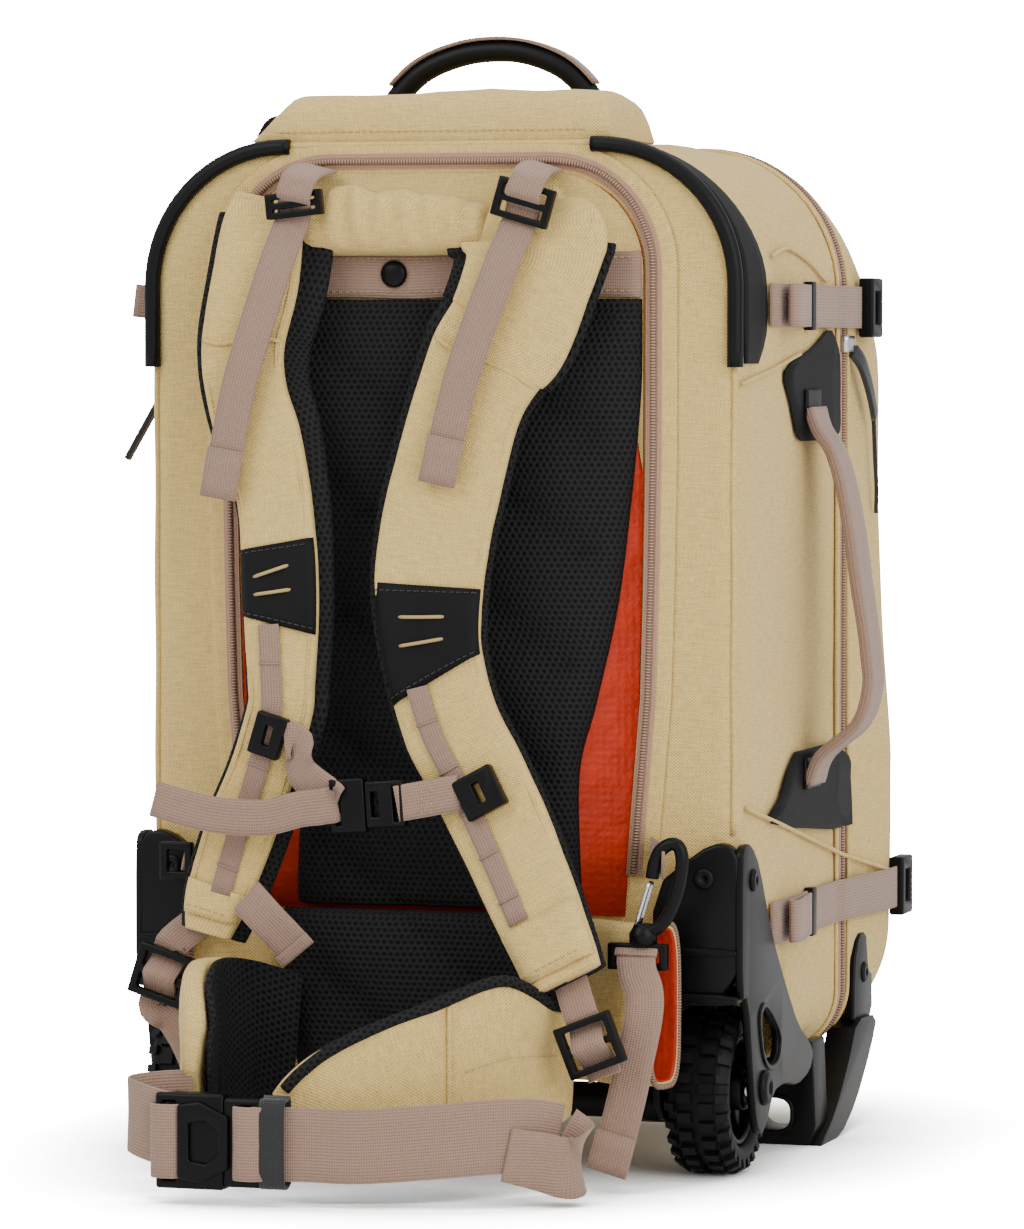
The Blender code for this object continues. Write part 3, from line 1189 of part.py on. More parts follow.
def make_foot(side_name):
    """A foot: a plate bolted to the pack's side, a leaning leg, and a framed sole with a window."""
    FootRow = namedtuple("FootRow", "height front length outer")
    near = HALF_WIDTH + TOUCH_GAP
    plate_front = FOOT_PLATE_PLACE - FOOT_PLATE_WIDTH / 2
    rows = [
        FootRow(0.060, plate_front, FOOT_PLATE_WIDTH, FOOT_PLATE_THICKNESS),
        FootRow(0.098, plate_front + 0.002, FOOT_PLATE_WIDTH - 0.003, FOOT_PLATE_THICKNESS * 0.9),
        FootRow(FOOT_PLATE_HIGH, plate_front + 0.012, 0.014, FOOT_PLATE_THICKNESS * 0.7),
    ]
    rings = [[Vector((x, y, row.height)) for x, y in (
        (near, row.front), (near + row.outer, row.front), (near + row.outer, row.front + row.length),
        (near, row.front + row.length))] for row in rows]
    foot = add_object(f"foot_{side_name}", "plastic", lofted(rings))
    leg_rows = [(0.062, plate_front, FOOT_PLATE_WIDTH, near, near + FOOT_PLATE_THICKNESS),
                (0.044, plate_front - 0.020, FOOT_PLATE_WIDTH + 0.004, near - 0.0010,
                 near + FOOT_PLATE_THICKNESS + 0.002),
                (0.020, plate_front - 0.058, FOOT_PLATE_WIDTH + 0.004, near - 0.010,
                 near + FOOT_PLATE_THICKNESS + 0.004),
                (0.000, FOOT_FRONT + 0.002, FOOT_SOLE_LENGTH, near - 0.016, near + FOOT_PLATE_THICKNESS + 0.003)]
    leg = []
    for height, front, length, low, high in leg_rows:
        corners = ((low, front), (high, front), (high, front + length), (low, front + length))
        leg.append([Vector((x, y, height)) for x, y in corners])
    boolean(foot, lofted(leg), "UNION")
    under = PACK_FLOOR - TOUCH_GAP
    inner = near - 0.046
    arc_centre = (HALF_WIDTH - BOTTOM_CORNER, PACK_FLOOR + BOTTOM_CORNER)
    arc_radius = BOTTOM_CORNER + TOUCH_GAP
    arc = []
    for angle in (0, 18, 36, 54):
        turn = math.radians(angle)
        arc.append((arc_centre[0] + arc_radius * math.sin(turn), arc_centre[1] - arc_radius * math.cos(turn)))
    outline = [(inner + 0.010, 0.0), (near + 0.001, 0.0), (near + 0.004, 0.012), (near + 0.002, arc[-1][1])]
    outline += list(reversed(arc)) + [(inner, under), (inner, 0.012)]
    frame = add_object("frame", "plastic", prism(outline, FOOT_FRONT, FOOT_FRONT + 0.030, "Y"))
    window = [(inner + 0.014, FOOT_BAR), (near - 0.012, FOOT_BAR), (near - 0.012, FOOT_BAR + 0.018),
              (inner + 0.012, FOOT_BAR + 0.018)]
    boolean(frame, prism(window, FOOT_FRONT - 0.01, FOOT_FRONT + 0.05, "Y"), "DIFFERENCE")
    frame_mesh = bmesh.new()
    frame_mesh.from_mesh(frame.data)
    bpy.data.objects.remove(frame, do_unlink=True)
    boolean(foot, frame_mesh, "UNION")
    return foot


def clear_scene():
    """Removes what the scene holds before the pack is made."""
    for found in list(bpy.data.objects):
        bpy.data.objects.remove(found, do_unlink=True)


def centre_over_origin():
    """Moves all pieces together so that the middle of their box stands over the origin, on the floor."""
    bpy.context.view_layer.update()
    corners = []
    for made in bpy.context.scene.objects:
        corners += [made.matrix_world @ vertex.co for vertex in made.data.vertices]
    low = [min(corner[k] for corner in corners) for k in range(3)]
    high = [max(corner[k] for corner in corners) for k in range(3)]
    shift = Vector((-(low[0] + high[0]) / 2, -(low[1] + high[1]) / 2, -low[2]))
    for made in bpy.context.scene.objects:
        made.location += shift


def main():
    clear_scene()
    make_shell()
    make_front_panel()
    make_main_zip()
    make_top_flap()
    make_grab_handle()
    for side, side_name in ((-1, "left"), (1, "right")):
        make_corner_guard(side, f"corner_guard_{side_name}")
    make_harness_zip()
    make_harness_backing()
    make_back_pad()
    make_belt_sleeve()
    make_lumbar_pad()
    make_harness_band()
    make_yoke()
    make_shoulder_strap("left", LEFT_STRAP)
    make_shoulder_strap("right", RIGHT_STRAP)
    make_lifter("left", -0.072, -0.080, 0.138)
    make_lifter("right", 0.070, 0.059, 0.130)
    make_chest_strap()
    make_belt_wing("hip_wing_right", RIGHT_BELT)
    make_belt_wing("hip_wing_left", LEFT_BELT)
    make_hip_buckle()
    for strap in LOWER_STRAPS:
        make_lower_strap(strap)
    make_hook()
    make_compression_strap("upper", UPPER_STRAP_HEIGHT, 0.060, 0.288)
    make_compression_strap("lower", LOWER_STRAP_HEIGHT, 0.070, 0.325)
    make_side_handle()
    for side, side_name in ((-1, "left"), (1, "right")):
        make_wheel(side, side_name)
    housing = make_housing("right")
    mirrored(housing, "wheel_housing_left")
    make_beam()
    foot = make_foot("right")
    mirrored(foot, "foot_left")
    centre_over_origin()


main()
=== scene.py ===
"""Wheeled travel backpack: the visible pack, built piece by piece over its model.

Run the script in Blender, or install it as an add-on and use the Backpack panel in the 3D view's
sidebar. Sizes are in metres. Places are written in the pack's own frame: X across, Y from the harness
face at 0 to the front panel, Z up from the floor.
"""

import json
import math

import bmesh
import bpy
import numpy as np
from bpy.props import FloatProperty, FloatVectorProperty, IntProperty, PointerProperty
from bpy.types import Operator, Panel, PropertyGroup
from mathutils import Matrix, Vector, noise

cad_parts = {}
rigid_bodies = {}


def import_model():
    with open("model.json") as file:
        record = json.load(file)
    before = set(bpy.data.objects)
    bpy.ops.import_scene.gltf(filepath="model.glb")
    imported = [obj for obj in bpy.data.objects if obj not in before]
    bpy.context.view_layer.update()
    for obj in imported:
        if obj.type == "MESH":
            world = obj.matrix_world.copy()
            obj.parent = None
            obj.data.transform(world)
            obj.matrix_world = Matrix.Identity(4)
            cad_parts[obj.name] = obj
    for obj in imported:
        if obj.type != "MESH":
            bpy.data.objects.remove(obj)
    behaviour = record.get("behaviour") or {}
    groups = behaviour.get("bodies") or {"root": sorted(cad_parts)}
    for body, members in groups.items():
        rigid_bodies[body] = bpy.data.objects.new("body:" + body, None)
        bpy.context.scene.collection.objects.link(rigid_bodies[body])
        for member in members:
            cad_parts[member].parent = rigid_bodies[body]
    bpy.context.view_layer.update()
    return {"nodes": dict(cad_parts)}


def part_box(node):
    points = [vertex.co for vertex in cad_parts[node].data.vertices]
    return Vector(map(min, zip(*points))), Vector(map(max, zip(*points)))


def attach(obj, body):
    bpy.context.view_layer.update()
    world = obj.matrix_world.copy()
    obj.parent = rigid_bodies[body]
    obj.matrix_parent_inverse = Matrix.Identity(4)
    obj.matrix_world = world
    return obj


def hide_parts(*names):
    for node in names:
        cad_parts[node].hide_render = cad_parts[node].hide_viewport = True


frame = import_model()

bl_info = {
    "name": "Wheeled Backpack",
    "version": (1, 0, 0),
    "blender": (4, 5, 0),
    "location": "View3D > Sidebar > Backpack",
    "description": "Builds a wheeled travel backpack with its harness, wheels and studio",
    "category": "Add Mesh",
}

BEAM_LOW, BEAM_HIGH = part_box("axle_beam")
SHIFT = Vector(((BEAM_LOW.x + BEAM_HIGH.x) / 2, BEAM_LOW.y - 0.020, 0.0))
ROOT = "pack"
UP = Vector((0, 0, 1))
ALONG_X = Vector((1, 0, 0))
ALONG_Y = Vector((0, 1, 0))
SIDES = ((-1, "left"), (1, "right"))


# Settings


def length(name, description, default):
    """A setting in metres."""
    return FloatProperty(name=name, description=description, default=default, unit="LENGTH")


def colour(name, description, default):
    """A colour setting."""
    return FloatVectorProperty(name=name, description=description, default=default, subtype="COLOR",
                               min=0, max=1)


class ShellSettings(PropertyGroup):
    """Cloth of the soft shell."""

    crumple: length("Crumple", "Height of the cloth's soft waves", 0.0011)


class HarnessSettings(PropertyGroup):
    """Sizes of the shoulder harness."""

    strap_width: length("Strap width", "Width of a shoulder strap", 0.062)
    strap_thickness: length("Strap thickness", "Thickness of the cloth face", 0.0085)
    lining_thickness: length("Lining thickness", "Thickness of the mesh lining", 0.0055)
    standoff: length("Standoff", "How far the straps stand out", 0.040)
    belt_webbing: length("Belt webbing", "Width of the hip webbing", 0.041)


class LookSettings(PropertyGroup):
    """Colours and weave of the cloths."""

    canvas: colour("Canvas", "Colour of the main cloth", (0.680, 0.470, 0.155))
    webbing: colour("Webbing", "Colour of the webbing", (0.275, 0.170, 0.120))
    lining: colour("Lining", "Colour of the lining", (0.405, 0.019, 0.0014))
    weave: length("Weave", "Pitch of the canvas weave", 0.0021)


class StageSettings(PropertyGroup):
    """Camera, light and tyre tread."""

    azimuth: FloatProperty(name="Azimuth", description="Place of the camera round the pack", default=18.0)
    distance: length("Distance", "Distance of the camera", 3.4)
    height: length("Height", "Height of the camera", 0.466)
    lens: FloatProperty(name="Lens", description="Focal length in millimetres", default=174.0)
    key: FloatProperty(name="Key light", description="Power of the main light in watts", default=60.0)
    sky: FloatProperty(name="Sky", description="Strength of the light from all around", default=0.86)
    backdrop: FloatProperty(name="Backdrop", description="Extra brightness of the backdrop", default=24.0)
    floor_glow: FloatProperty(name="Floor glow", description="Extra brightness of the floor", default=24.0)
    knobs: IntProperty(name="Tread", description="Knobs round each tyre", default=26)


# Materials


class Nodes:
    """A Principled material and a short way to add nodes to it."""

    def __init__(self, name, colour, roughness, metallic=0.0):
        self.material = bpy.data.materials.new(name)
        self.material.use_nodes = True
        self.tree = self.material.node_tree
        self.shader = self.tree.nodes["Principled BSDF"]
        self.set("Base Color", (*colour, 1.0))
        self.set("Roughness", roughness)
        self.set("Metallic", metallic)

    def set(self, socket, value):
        """Gives one of the shader's sockets a constant value."""
        self.shader.inputs[socket].default_value = value

    def add(self, kind, **values):
        """A new node with some of its values set."""
        node = self.tree.nodes.new(kind)
        for key, value in values.items():
            setattr(node, key, value)
        return node

    def link(self, source, target):
        """Joins an output to an input."""
        self.tree.links.new(source, target)

    def maths(self, operation, first, second=None, third=None):
        """A maths node of up to three inputs, each a number or an output; gives its output."""
        node = self.add("ShaderNodeMath", operation=operation)
        for index, value in enumerate((first, second, third)):
            if value is None:
                continue
            if isinstance(value, (int, float)):
                node.inputs[index].default_value = value
            else:
                self.link(value, node.inputs[index])
        return node.outputs[0]

    def times(self, first, second):
        """The product of two numbers or outputs."""
        return self.maths("MULTIPLY", first, second)

    def uv(self):
        """The two outputs of the piece's own cloth coordinates, in metres."""
        split = self.add("ShaderNodeSeparateXYZ")
        self.link(self.add("ShaderNodeUVMap", uv_map="cloth").outputs[0], split.inputs[0])
        self.uv_outputs = (split.outputs[0], split.outputs[1])
        return self.uv_outputs

    def combine(self, first, second, third=0.0):
        """A vector of three numbers or outputs."""
        node = self.add("ShaderNodeCombineXYZ")
        for index, value in enumerate((first, second, third)):
            if isinstance(value, (int, float)):
                node.inputs[index].default_value = value
            else:
                self.link(value, node.inputs[index])
        return node.outputs[0]

    def noise(self, vector, scale, detail=2.0, roughness=0.5):
        """A noise texture's value."""
        node = self.add("ShaderNodeTexNoise")
        node.inputs["Scale"].default_value = scale
        node.inputs["Detail"].default_value = detail
        node.inputs["Roughness"].default_value = roughness
        self.link(vector, node.inputs["Vector"])
        return node.outputs[0]

    def yarns(self, across, along, detail):
        """Noise drawn out along the cloth, with a number of grains per metre each way."""
        u, v = self.uv_outputs
        return self.noise(self.combine(self.times(u, across), self.times(v, along)), 1.0, detail)

    def object_place(self):
        """The place on the piece in its own object coordinates."""
        return self.add("ShaderNodeTexCoord").outputs["Object"]

    def blend(self, share, low, high):
        """A colour between low and high by a share."""
        node = self.add("ShaderNodeMix", data_type="RGBA")
        node.inputs[6].default_value = (*low, 1.0)
        node.inputs[7].default_value = (*high, 1.0)
        self.link(share, node.inputs[0])
        return node.outputs[2]

    def colour(self, output):
        """Gives the shader its colour from an output."""
        self.link(output, self.shader.inputs["Base Color"])

    def bump(self, height, distance, strength=1.0):
        """Gives the shader a fine relief."""
        node = self.add("ShaderNodeBump")
        node.inputs["Strength"].default_value = strength
        node.inputs["Distance"].default_value = distance
        self.link(height, node.inputs["Height"])
        self.link(node.outputs[0], self.shader.inputs["Normal"])


def scaled(colour, share):
    """A colour made darker or lighter by a share."""
    return tuple(min(1.0, channel * share) for channel in colour)


def canvas_material(look):
    """Plain weave of heathered yarns."""
    made = Nodes("canvas", look.canvas, 0.92)
    u, v = made.uv()
    turn = math.tau / look.weave
    across = made.maths("SINE", made.times(u, turn))
    along = made.maths("SINE", made.times(v, turn * 1.15))
    weave = made.maths("MULTIPLY_ADD", made.times(across, along), 0.5, 0.5)
    slub = made.yarns(90.0, 900.0, 3.0)
    yarn = made.yarns(800.0, 160.0, 2.0)
    tone = made.maths("MULTIPLY_ADD", slub, 0.55, made.times(yarn, 0.40))
    share = made.maths("MULTIPLY_ADD", weave, 0.46, made.maths("SUBTRACT", tone, 0.20))
    made.colour(made.blend(share, scaled(look.canvas, 0.38), scaled(look.canvas, 1.50)))
    made.set("Sheen Weight", 0.12)
    made.bump(made.maths("MULTIPLY_ADD", weave, 0.6, tone), 0.0008, 0.7)
    return made.material


def webbing_material(look, name, colour):
    """Ribbed narrow webbing: ribs along it and a fine weft across."""
    base = look.webbing if colour is None else colour
    made = Nodes(name, base, 0.80)
    u, v = made.uv()
    ribs = made.maths("SINE", made.times(u, math.tau / 0.00175))
    weft = made.maths("SINE", made.times(v, math.tau / 0.00135))
    height = made.maths("MULTIPLY_ADD", ribs, 0.28, made.maths("MULTIPLY_ADD", weft, 0.22, 0.5))
    patch = made.yarns(700.0, 300.0, 2.0)
    share = made.maths("MULTIPLY_ADD", height, 0.62, made.times(patch, 0.36))
    made.colour(made.blend(share, scaled(base, 0.60), scaled(base, 1.40)))
    made.set("Sheen Weight", 0.2)
    made.bump(height, 0.0006, 0.6)
    return made.material


def coil_material(look):
    """Zip coil: a tooth every 1.7 mm along it."""
    made = Nodes("zip_coil", (0.20, 0.13, 0.10), 0.55)
    _, v = made.uv()
    teeth = made.maths("SINE", made.times(v, math.tau / 0.0017))
    share = made.maths("MULTIPLY_ADD", teeth, 0.5, 0.5)
    made.colour(made.blend(share, (0.10, 0.055, 0.035), (0.46, 0.28, 0.19)))
    made.bump(share, 0.0008, 0.8)
    return made.material


def mesh_material(look):
    """Black spacer mesh with staggered oval holes."""
    made = Nodes("spacer_mesh", (0.011, 0.011, 0.012), 0.85)
    u, v = made.uv()
    row = made.times(v, 1 / 0.0034)
    shift = made.times(made.maths("MODULO", made.maths("FLOOR", row), 2.0), 0.5)
    column = made.maths("ADD", made.times(u, 1 / 0.0040), shift)
    x = made.times(made.maths("SUBTRACT", made.maths("FRACT", column), 0.5), 2.6)
    y = made.times(made.maths("SUBTRACT", made.maths("FRACT", row), 0.5), 2.2)
    away = made.maths("SQRT", made.maths("ADD", made.times(x, x), made.times(y, y)))
    ridge_relief_and_painted_light = made.maths("SMOOTH_MIN", away, 1.15, 0.4)
    knit = made.yarns(1500.0, 1500.0, 2.0)
    share = made.times(ridge_relief_and_painted_light, made.maths("MULTIPLY_ADD", knit, 0.9, 0.35))
    made.set("Specular IOR Level", 0.17)
    # Painted shade and highlight: near black down in the holes, lighter on the ridges as if they caught the
    # light.
    made.colour(made.blend(share, (0.0002, 0.0002, 0.0003), (0.0170, 0.0174, 0.0185)))
    made.bump(made.maths("MULTIPLY_ADD", knit, 0.35, ridge_relief_and_painted_light), 0.0016, 1.0)
    return made.material


def lining_material(look):
    """Thin coated nylon with a fine ripstop grid and soft creases."""
    made = Nodes("lining", look.lining, 0.50)
    u, v = made.uv()
    grid = made.maths("ADD", made.maths("SINE", made.times(u, math.tau / 0.0042)),
                      made.maths("SINE", made.times(v, math.tau / 0.0042)))
    crease_relief_and_shade = made.noise(made.object_place(), 38.0, 4.0, 0.6)
    share = made.maths("MULTIPLY_ADD", grid, 0.018, made.maths("MULTIPLY_ADD", crease_relief_and_shade, 1.7, -0.30))
    made.set("Specular IOR Level", 0.22)
    # Painted shade and light: the colour follows the crease relief, darker in its hollows and lighter on
    # its folds.
    made.colour(made.blend(share, scaled(look.lining, 0.72), scaled(look.lining, 1.18)))
    made.bump(made.maths("MULTIPLY_ADD", grid, 0.012, crease_relief_and_shade), 0.006, 0.6)
    return made.material


def patch_material(look):
    """Matt coated cloth of the patches."""
    made = Nodes("patch", (0.024, 0.024, 0.025), 0.62)
    grain = made.noise(made.object_place(), 900.0, 2.0)
    scuffs = made.noise(made.object_place(), 22.0, 3.0)
    made.set("Specular IOR Level", 0.15)
    made.colour(made.blend(scuffs, (0.0022, 0.0022, 0.0024), (0.0065, 0.0065, 0.0068)))
    made.bump(grain, 0.0003, 0.4)
    return made.material


def hard_material(name, colour, roughness, grain=0.0002, metallic=0.0):
    """Moulded plastic, rubber or metal with a fine grain."""
    made = Nodes(name, colour, roughness, metallic)
    fine = made.noise(made.object_place(), 1400.0, 2.0)
    broad = made.noise(made.object_place(), 30.0, 2.0)
    made.set("Specular IOR Level", 0.5 if metallic else 0.16)
    made.colour(made.blend(broad, scaled(colour, 0.82), scaled(colour, 1.22)))
    made.bump(fine, grain, 0.35)
    return made.material


# Colour, roughness, height of the grain and metal share of the hard materials
HARD_LOOKS = {
    "plastic": ((0.0022, 0.0023, 0.0025), 0.36),
    "rubber": ((0.0034, 0.0035, 0.0039), 0.42, 0.0001),
    "tyre": ((0.0036, 0.0037, 0.0040), 0.50, 0.0004),
    "steel": ((0.62, 0.62, 0.64), 0.22, 0.00005, 1.0),
    "thread": ((0.42, 0.30, 0.13), 0.8),
}
WEBBING_COLOURS = {"webbing": None, "zip_tape": (0.380, 0.215, 0.135),
                   "black_webbing": (0.0085, 0.0085, 0.0090)}
CLOTHS = {
    "canvas": canvas_material,
    "zip_coil": coil_material,
    "spacer_mesh": mesh_material,
    "lining": lining_material,
    "patch": patch_material,
}
# Materials made so far, by kind
made_materials = {}


def material(kind):
    """The material of a kind, made once."""
    look = bpy.context.scene.backpack_look
    if kind in made_materials:
        return made_materials[kind]
    if kind in HARD_LOOKS:
        made_materials[kind] = hard_material(kind, *HARD_LOOKS[kind])
    elif kind in WEBBING_COLOURS:
        made_materials[kind] = webbing_material(look, kind, WEBBING_COLOURS[kind])
    else:
        made_materials[kind] = CLOTHS[kind](look)
    return made_materials[kind]


# Shapes


def angles(count):
    """Evenly spaced angles round a full turn."""
    return [math.tau * k / count for k in range(count)]


def smooth(rows, steps):
    """Rows read from a smooth curve through the given rows, with steps stretches between two rows."""
    table = np.array([list(row) for row in rows], dtype=float)
    last = len(table) - 1
    found = []
    for i in range(last):
        before, start = table[max(i - 1, 0)], table[i]
        end, after = table[i + 1], table[min(i + 2, last)]
        for k in range(steps):
            t = k / steps
            found.append(0.5 * (2 * start + (end - before) * t
                                + (2 * before - 5 * start + 4 * end - after) * t**2
                                + (3 * start - before - 3 * end + after) * t**3))
    found.append(table[last])
    return np.array(found)


def smooth_path(points, steps=6):
    """Places on a smooth curve through some points."""
    return [Vector(point) for point in smooth(points, steps)]


def frames_along(points, hint=None):
    """For each point of a path: its tangent, the direction across the band and the one out of it."""
    found = []
    last = len(points) - 1
    for i in range(last + 1):
        tangent = (points[min(i + 1, last)] - points[max(i - 1, 0)]).normalized()
        across = tangent.cross(ALONG_Y) if hint is None else hint - hint.dot(tangent) * tangent
        across.normalize()
        found.append((tangent, across, across.cross(tangent).normalized()))
    return found


def wave(point, size, seed=0.0):
    """Smooth noise between -1 and 1 at a place, with waves of about a size."""
    return noise.noise(Vector(point) / size + Vector((seed, -seed, 2.3 * seed)))


def finish_piece(made, kind, replaced=(), body=ROOT):
    """Gives a piece its material, its slot in the record, its body and the plain solids it stands for."""
    made.data.materials.clear()
    made.data.materials.append(material(kind))
    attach(made, body)
    if replaced:
        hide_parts(*replaced)
    return made


def mesh_piece(name, verts, faces, loops_uv, kind, replaced=(), body=ROOT, smooth_faces=True):
    """A mesh object in the pack's frame with cloth coordinates for each face corner."""
    mesh = bpy.data.meshes.new(name)
    mesh.from_pydata([tuple(vert) for vert in np.asarray(verts) + np.array(SHIFT)], [], faces)
    layer = mesh.uv_layers.new(name="cloth")
    layer.data.foreach_set("uv", np.asarray(loops_uv, dtype=np.float32).ravel())
    work = bmesh.new()
    work.from_mesh(mesh)
    bmesh.ops.recalc_face_normals(work, faces=work.faces)
    work.to_mesh(mesh)
    work.free()
    if smooth_faces:
        mesh.shade_smooth()
    made = bpy.data.objects.new(name, mesh)
    bpy.context.scene.collection.objects.link(made)
    return finish_piece(made, kind, replaced, body)


def box_uv(points):
    """Cloth coordinates of one face seen along its main direction."""
    normal = np.zeros(3)
    for i in range(len(points)):
        normal += np.cross(points[i - 1], points[i])
    main = int(np.argmax(np.abs(normal)))
    first, second = [(1, 2), (0, 2), (0, 1)][main]
    return [(point[first], point[second]) for point in points]


def loft(name, rings, kind, replaced=(), body=ROOT, around=True, caps=True, box=False, closed_path=False):
    """A skin through rings of equal point count; it follows the path, or closes on itself."""
    grid = np.array([[tuple(point) for point in ring] for ring in rings])
    if closed_path:
        grid = np.concatenate([grid, grid[:1]])
    rows, count = grid.shape[:2]
    wrapped = np.concatenate([grid, grid[:, :1]], 1) if around else grid
    steps = np.linalg.norm(np.diff(wrapped, axis=1), axis=2)
    u = np.concatenate([np.zeros((rows, 1)), np.cumsum(steps, 1)], 1)
    v = np.concatenate([[0.0], np.cumsum(np.linalg.norm(np.diff(grid, axis=0), axis=2).mean(1))])
    faces = []
    coords = []
    real_rows = rows - 1 if closed_path else rows
    last = count if around else count - 1
    for i in range(rows - 1):
        for j in range(last):
            k = (j + 1) % count
            below = (i + 1) % real_rows
            faces.append((i * count + j, i * count + k, below * count + k, below * count + j))
            if box:
                coords += box_uv([wrapped[i, j], wrapped[i, j + 1], wrapped[i + 1, j + 1],
                                  wrapped[i + 1, j]])
            else:
                coords += [(u[i, j], v[i]), (u[i, j + 1], v[i]), (u[i + 1, j + 1], v[i + 1]),
                           (u[i + 1, j], v[i + 1])]
    if caps and not closed_path:
        for row, order in ((0, range(count)), (rows - 1, range(count - 1, -1, -1))):
            faces.append([row * count + j for j in order])
            coords += box_uv([grid[row, j] for j in order])
    return mesh_piece(name, grid[:real_rows].reshape(-1, 3), faces, coords, kind, replaced, body)


def rounded_profile(count, squareness):
    """A rounded rectangle's points with both half sizes 1, used across a padded band."""
    points = []
    for angle in angles(count):
        x, y = math.cos(angle), math.sin(angle)
        x = math.copysign(abs(x) ** squareness, x)
        y = math.copysign(abs(y) ** squareness, y)
        points.append((x, y))
    return points


# Section of a flat band with slightly rounded edges, with both half sizes 1
FLAT = [(-1, -0.55), (-0.97, -1), (-0.5, -1), (0, -1), (0.5, -1), (0.97, -1), (1, -0.55), (1, 0.55),
        (0.97, 1), (0.5, 1), (0, 1), (-0.5, 1), (-0.97, 1), (-1, 0.55)]


def band(name, kind, points, widths, thicknesses, hint=None, profile=FLAT, lift=0.0, crumple=0.0, seed=0.0,
         replaced=(), body=ROOT):
    """A band along a path. Positive lift and the profile's positive side face the band's inner side."""
    count = len(points)
    widths = [widths] * count if isinstance(widths, float) else list(widths)
    thicknesses = [thicknesses] * count if isinstance(thicknesses, float) else list(thicknesses)
    rings = []
    frames = frames_along(points, hint)
    for point, (_, across, out), width, thick in zip(points, frames, widths, thicknesses):
        centre = point + out * lift
        ring = []
        for a, b in profile:
            place = centre + across * (a * width / 2) + out * (b * thick / 2)
            if crumple:
                soft = wave(place, 0.030, seed) + 0.5 * wave(place, 0.013, seed + 5)
                place = place + out * (crumple * soft)
            ring.append(place)
        rings.append(ring)
    return loft(name, rings, kind, replaced, body)


def tube(name, kind, points, radius, sides=10, flat=1.0, hint=None, replaced=(), body=ROOT,
         closed_path=False):
    """A round cord along a path; flat squeezes it in its outward direction."""
    rings = []
    frames = frames_along(points, hint or Vector((0.013, 1, 0.007)))
    for point, (_, across, out) in zip(points, frames):
        rings.append([point + across * (radius * math.cos(a)) + out * (radius * flat * math.sin(a))
                      for a in angles(sides)])
    return loft(name, rings, kind, replaced, body, closed_path=closed_path)


def flat_shell(name, kind, grid, normals, thickness):
    """A thin closed skin over a grid of places with their outward normals."""
    grid = [[Vector(point) for point in row] for row in grid]
    rings = []
    for row, ups in zip(grid, normals):
        near = [point + up * 0.0002 for point, up in zip(row, ups)]
        far = [point + up * thickness for point, up in zip(row, ups)]
        rings.append(far + list(reversed(near)))
    return loft(name, rings, kind, box=True)


def stitches(name, path, normal_of, pitch=0.0042, length=0.0026, radius=0.00032, kind="thread"):
    """A row of short stitches along a path, as one mesh of small cords."""
    places = [Vector(point) for point in path]
    runs = [0.0]
    for first, second in zip(places, places[1:]):
        runs.append(runs[-1] + (second - first).length)
    total = runs[-1]
    verts, faces, coords = [], [], []

    def at(run):
        i = max(1, min(len(runs) - 1, int(np.searchsorted(runs, run))))
        share = (run - runs[i - 1]) / max(runs[i] - runs[i - 1], 1e-9)
        return places[i - 1].lerp(places[i], share)

    for k in range(int(total / pitch)):
        start, end = at(k * pitch), at(k * pitch + length)
        along = (end - start).normalized()
        normal = normal_of(start).normalized()
        across = along.cross(normal).normalized()
        base = len(verts)
        for place in (start, end):
            for a in range(4):
                angle = math.tau * (a + 0.5) / 4
                verts.append(place + across * (radius * 1.4 * math.cos(angle))
                             + normal * (radius * math.sin(angle)))
        for a in range(4):
            b = (a + 1) % 4
            faces.append((base + a, base + b, base + 4 + b, base + 4 + a))
            coords += [(0, 0), (0, 1), (1, 1), (1, 0)]
        faces += [(base, base + 1, base + 2, base + 3), (base + 7, base + 6, base + 5, base + 4)]
        coords += [(0, 0)] * 8
    return mesh_piece(name, verts, faces, coords, kind)


# The soft shell

WIDTH = 0.355
HALF = WIDTH / 2
TOP = 0.590
FLOOR = 0.050
DEPTH = 0.234
TOP_CORNER = 0.084
LOW_CORNER = 0.036
EDGE = 0.010
WELT_GAP = 0.0118
WELT_RADIUS = 0.0016

# Rows of the pack's outline: depth from the harness face, then the shares of half width, top,
# underside and corner radius
SHELL_ROWS = [(0.0234, 0.992, 0.996, 0.020, 0.97), (0.0819, 1.0, 1.0, 0.0, 1.0),
              (0.1638, 1.0, 1.0, 0.0, 1.0), (0.2340, 0.998, 0.998, 0.0, 1.0),
              (0.2685, 1.004, 0.994, 0.005, 1.03), (0.2970, 1.006, 0.982, 0.01, 1.12),
              (0.3187, 1.002, 0.964, 0.02, 1.24), (0.3369, 0.985, 0.936, 0.04, 1.36),
              (0.3480, 0.935, 0.895, 0.08, 1.42), (0.3530, 0.850, 0.850, 0.14, 1.45)]
FACE_HALF = HALF * SHELL_ROWS[0][1]
FACE_TOP_SHARE = SHELL_ROWS[0][2]
FACE_CORNER = TOP_CORNER * SHELL_ROWS[0][4]


def fullness(depth, height):
    """How much the packed front panel swells sideways low down."""
    share = min(1.0, max(0.0, (depth - 0.235) / 0.085))
    return 0.0095 * share * math.exp(-((height - 0.165) / 0.135) ** 2)


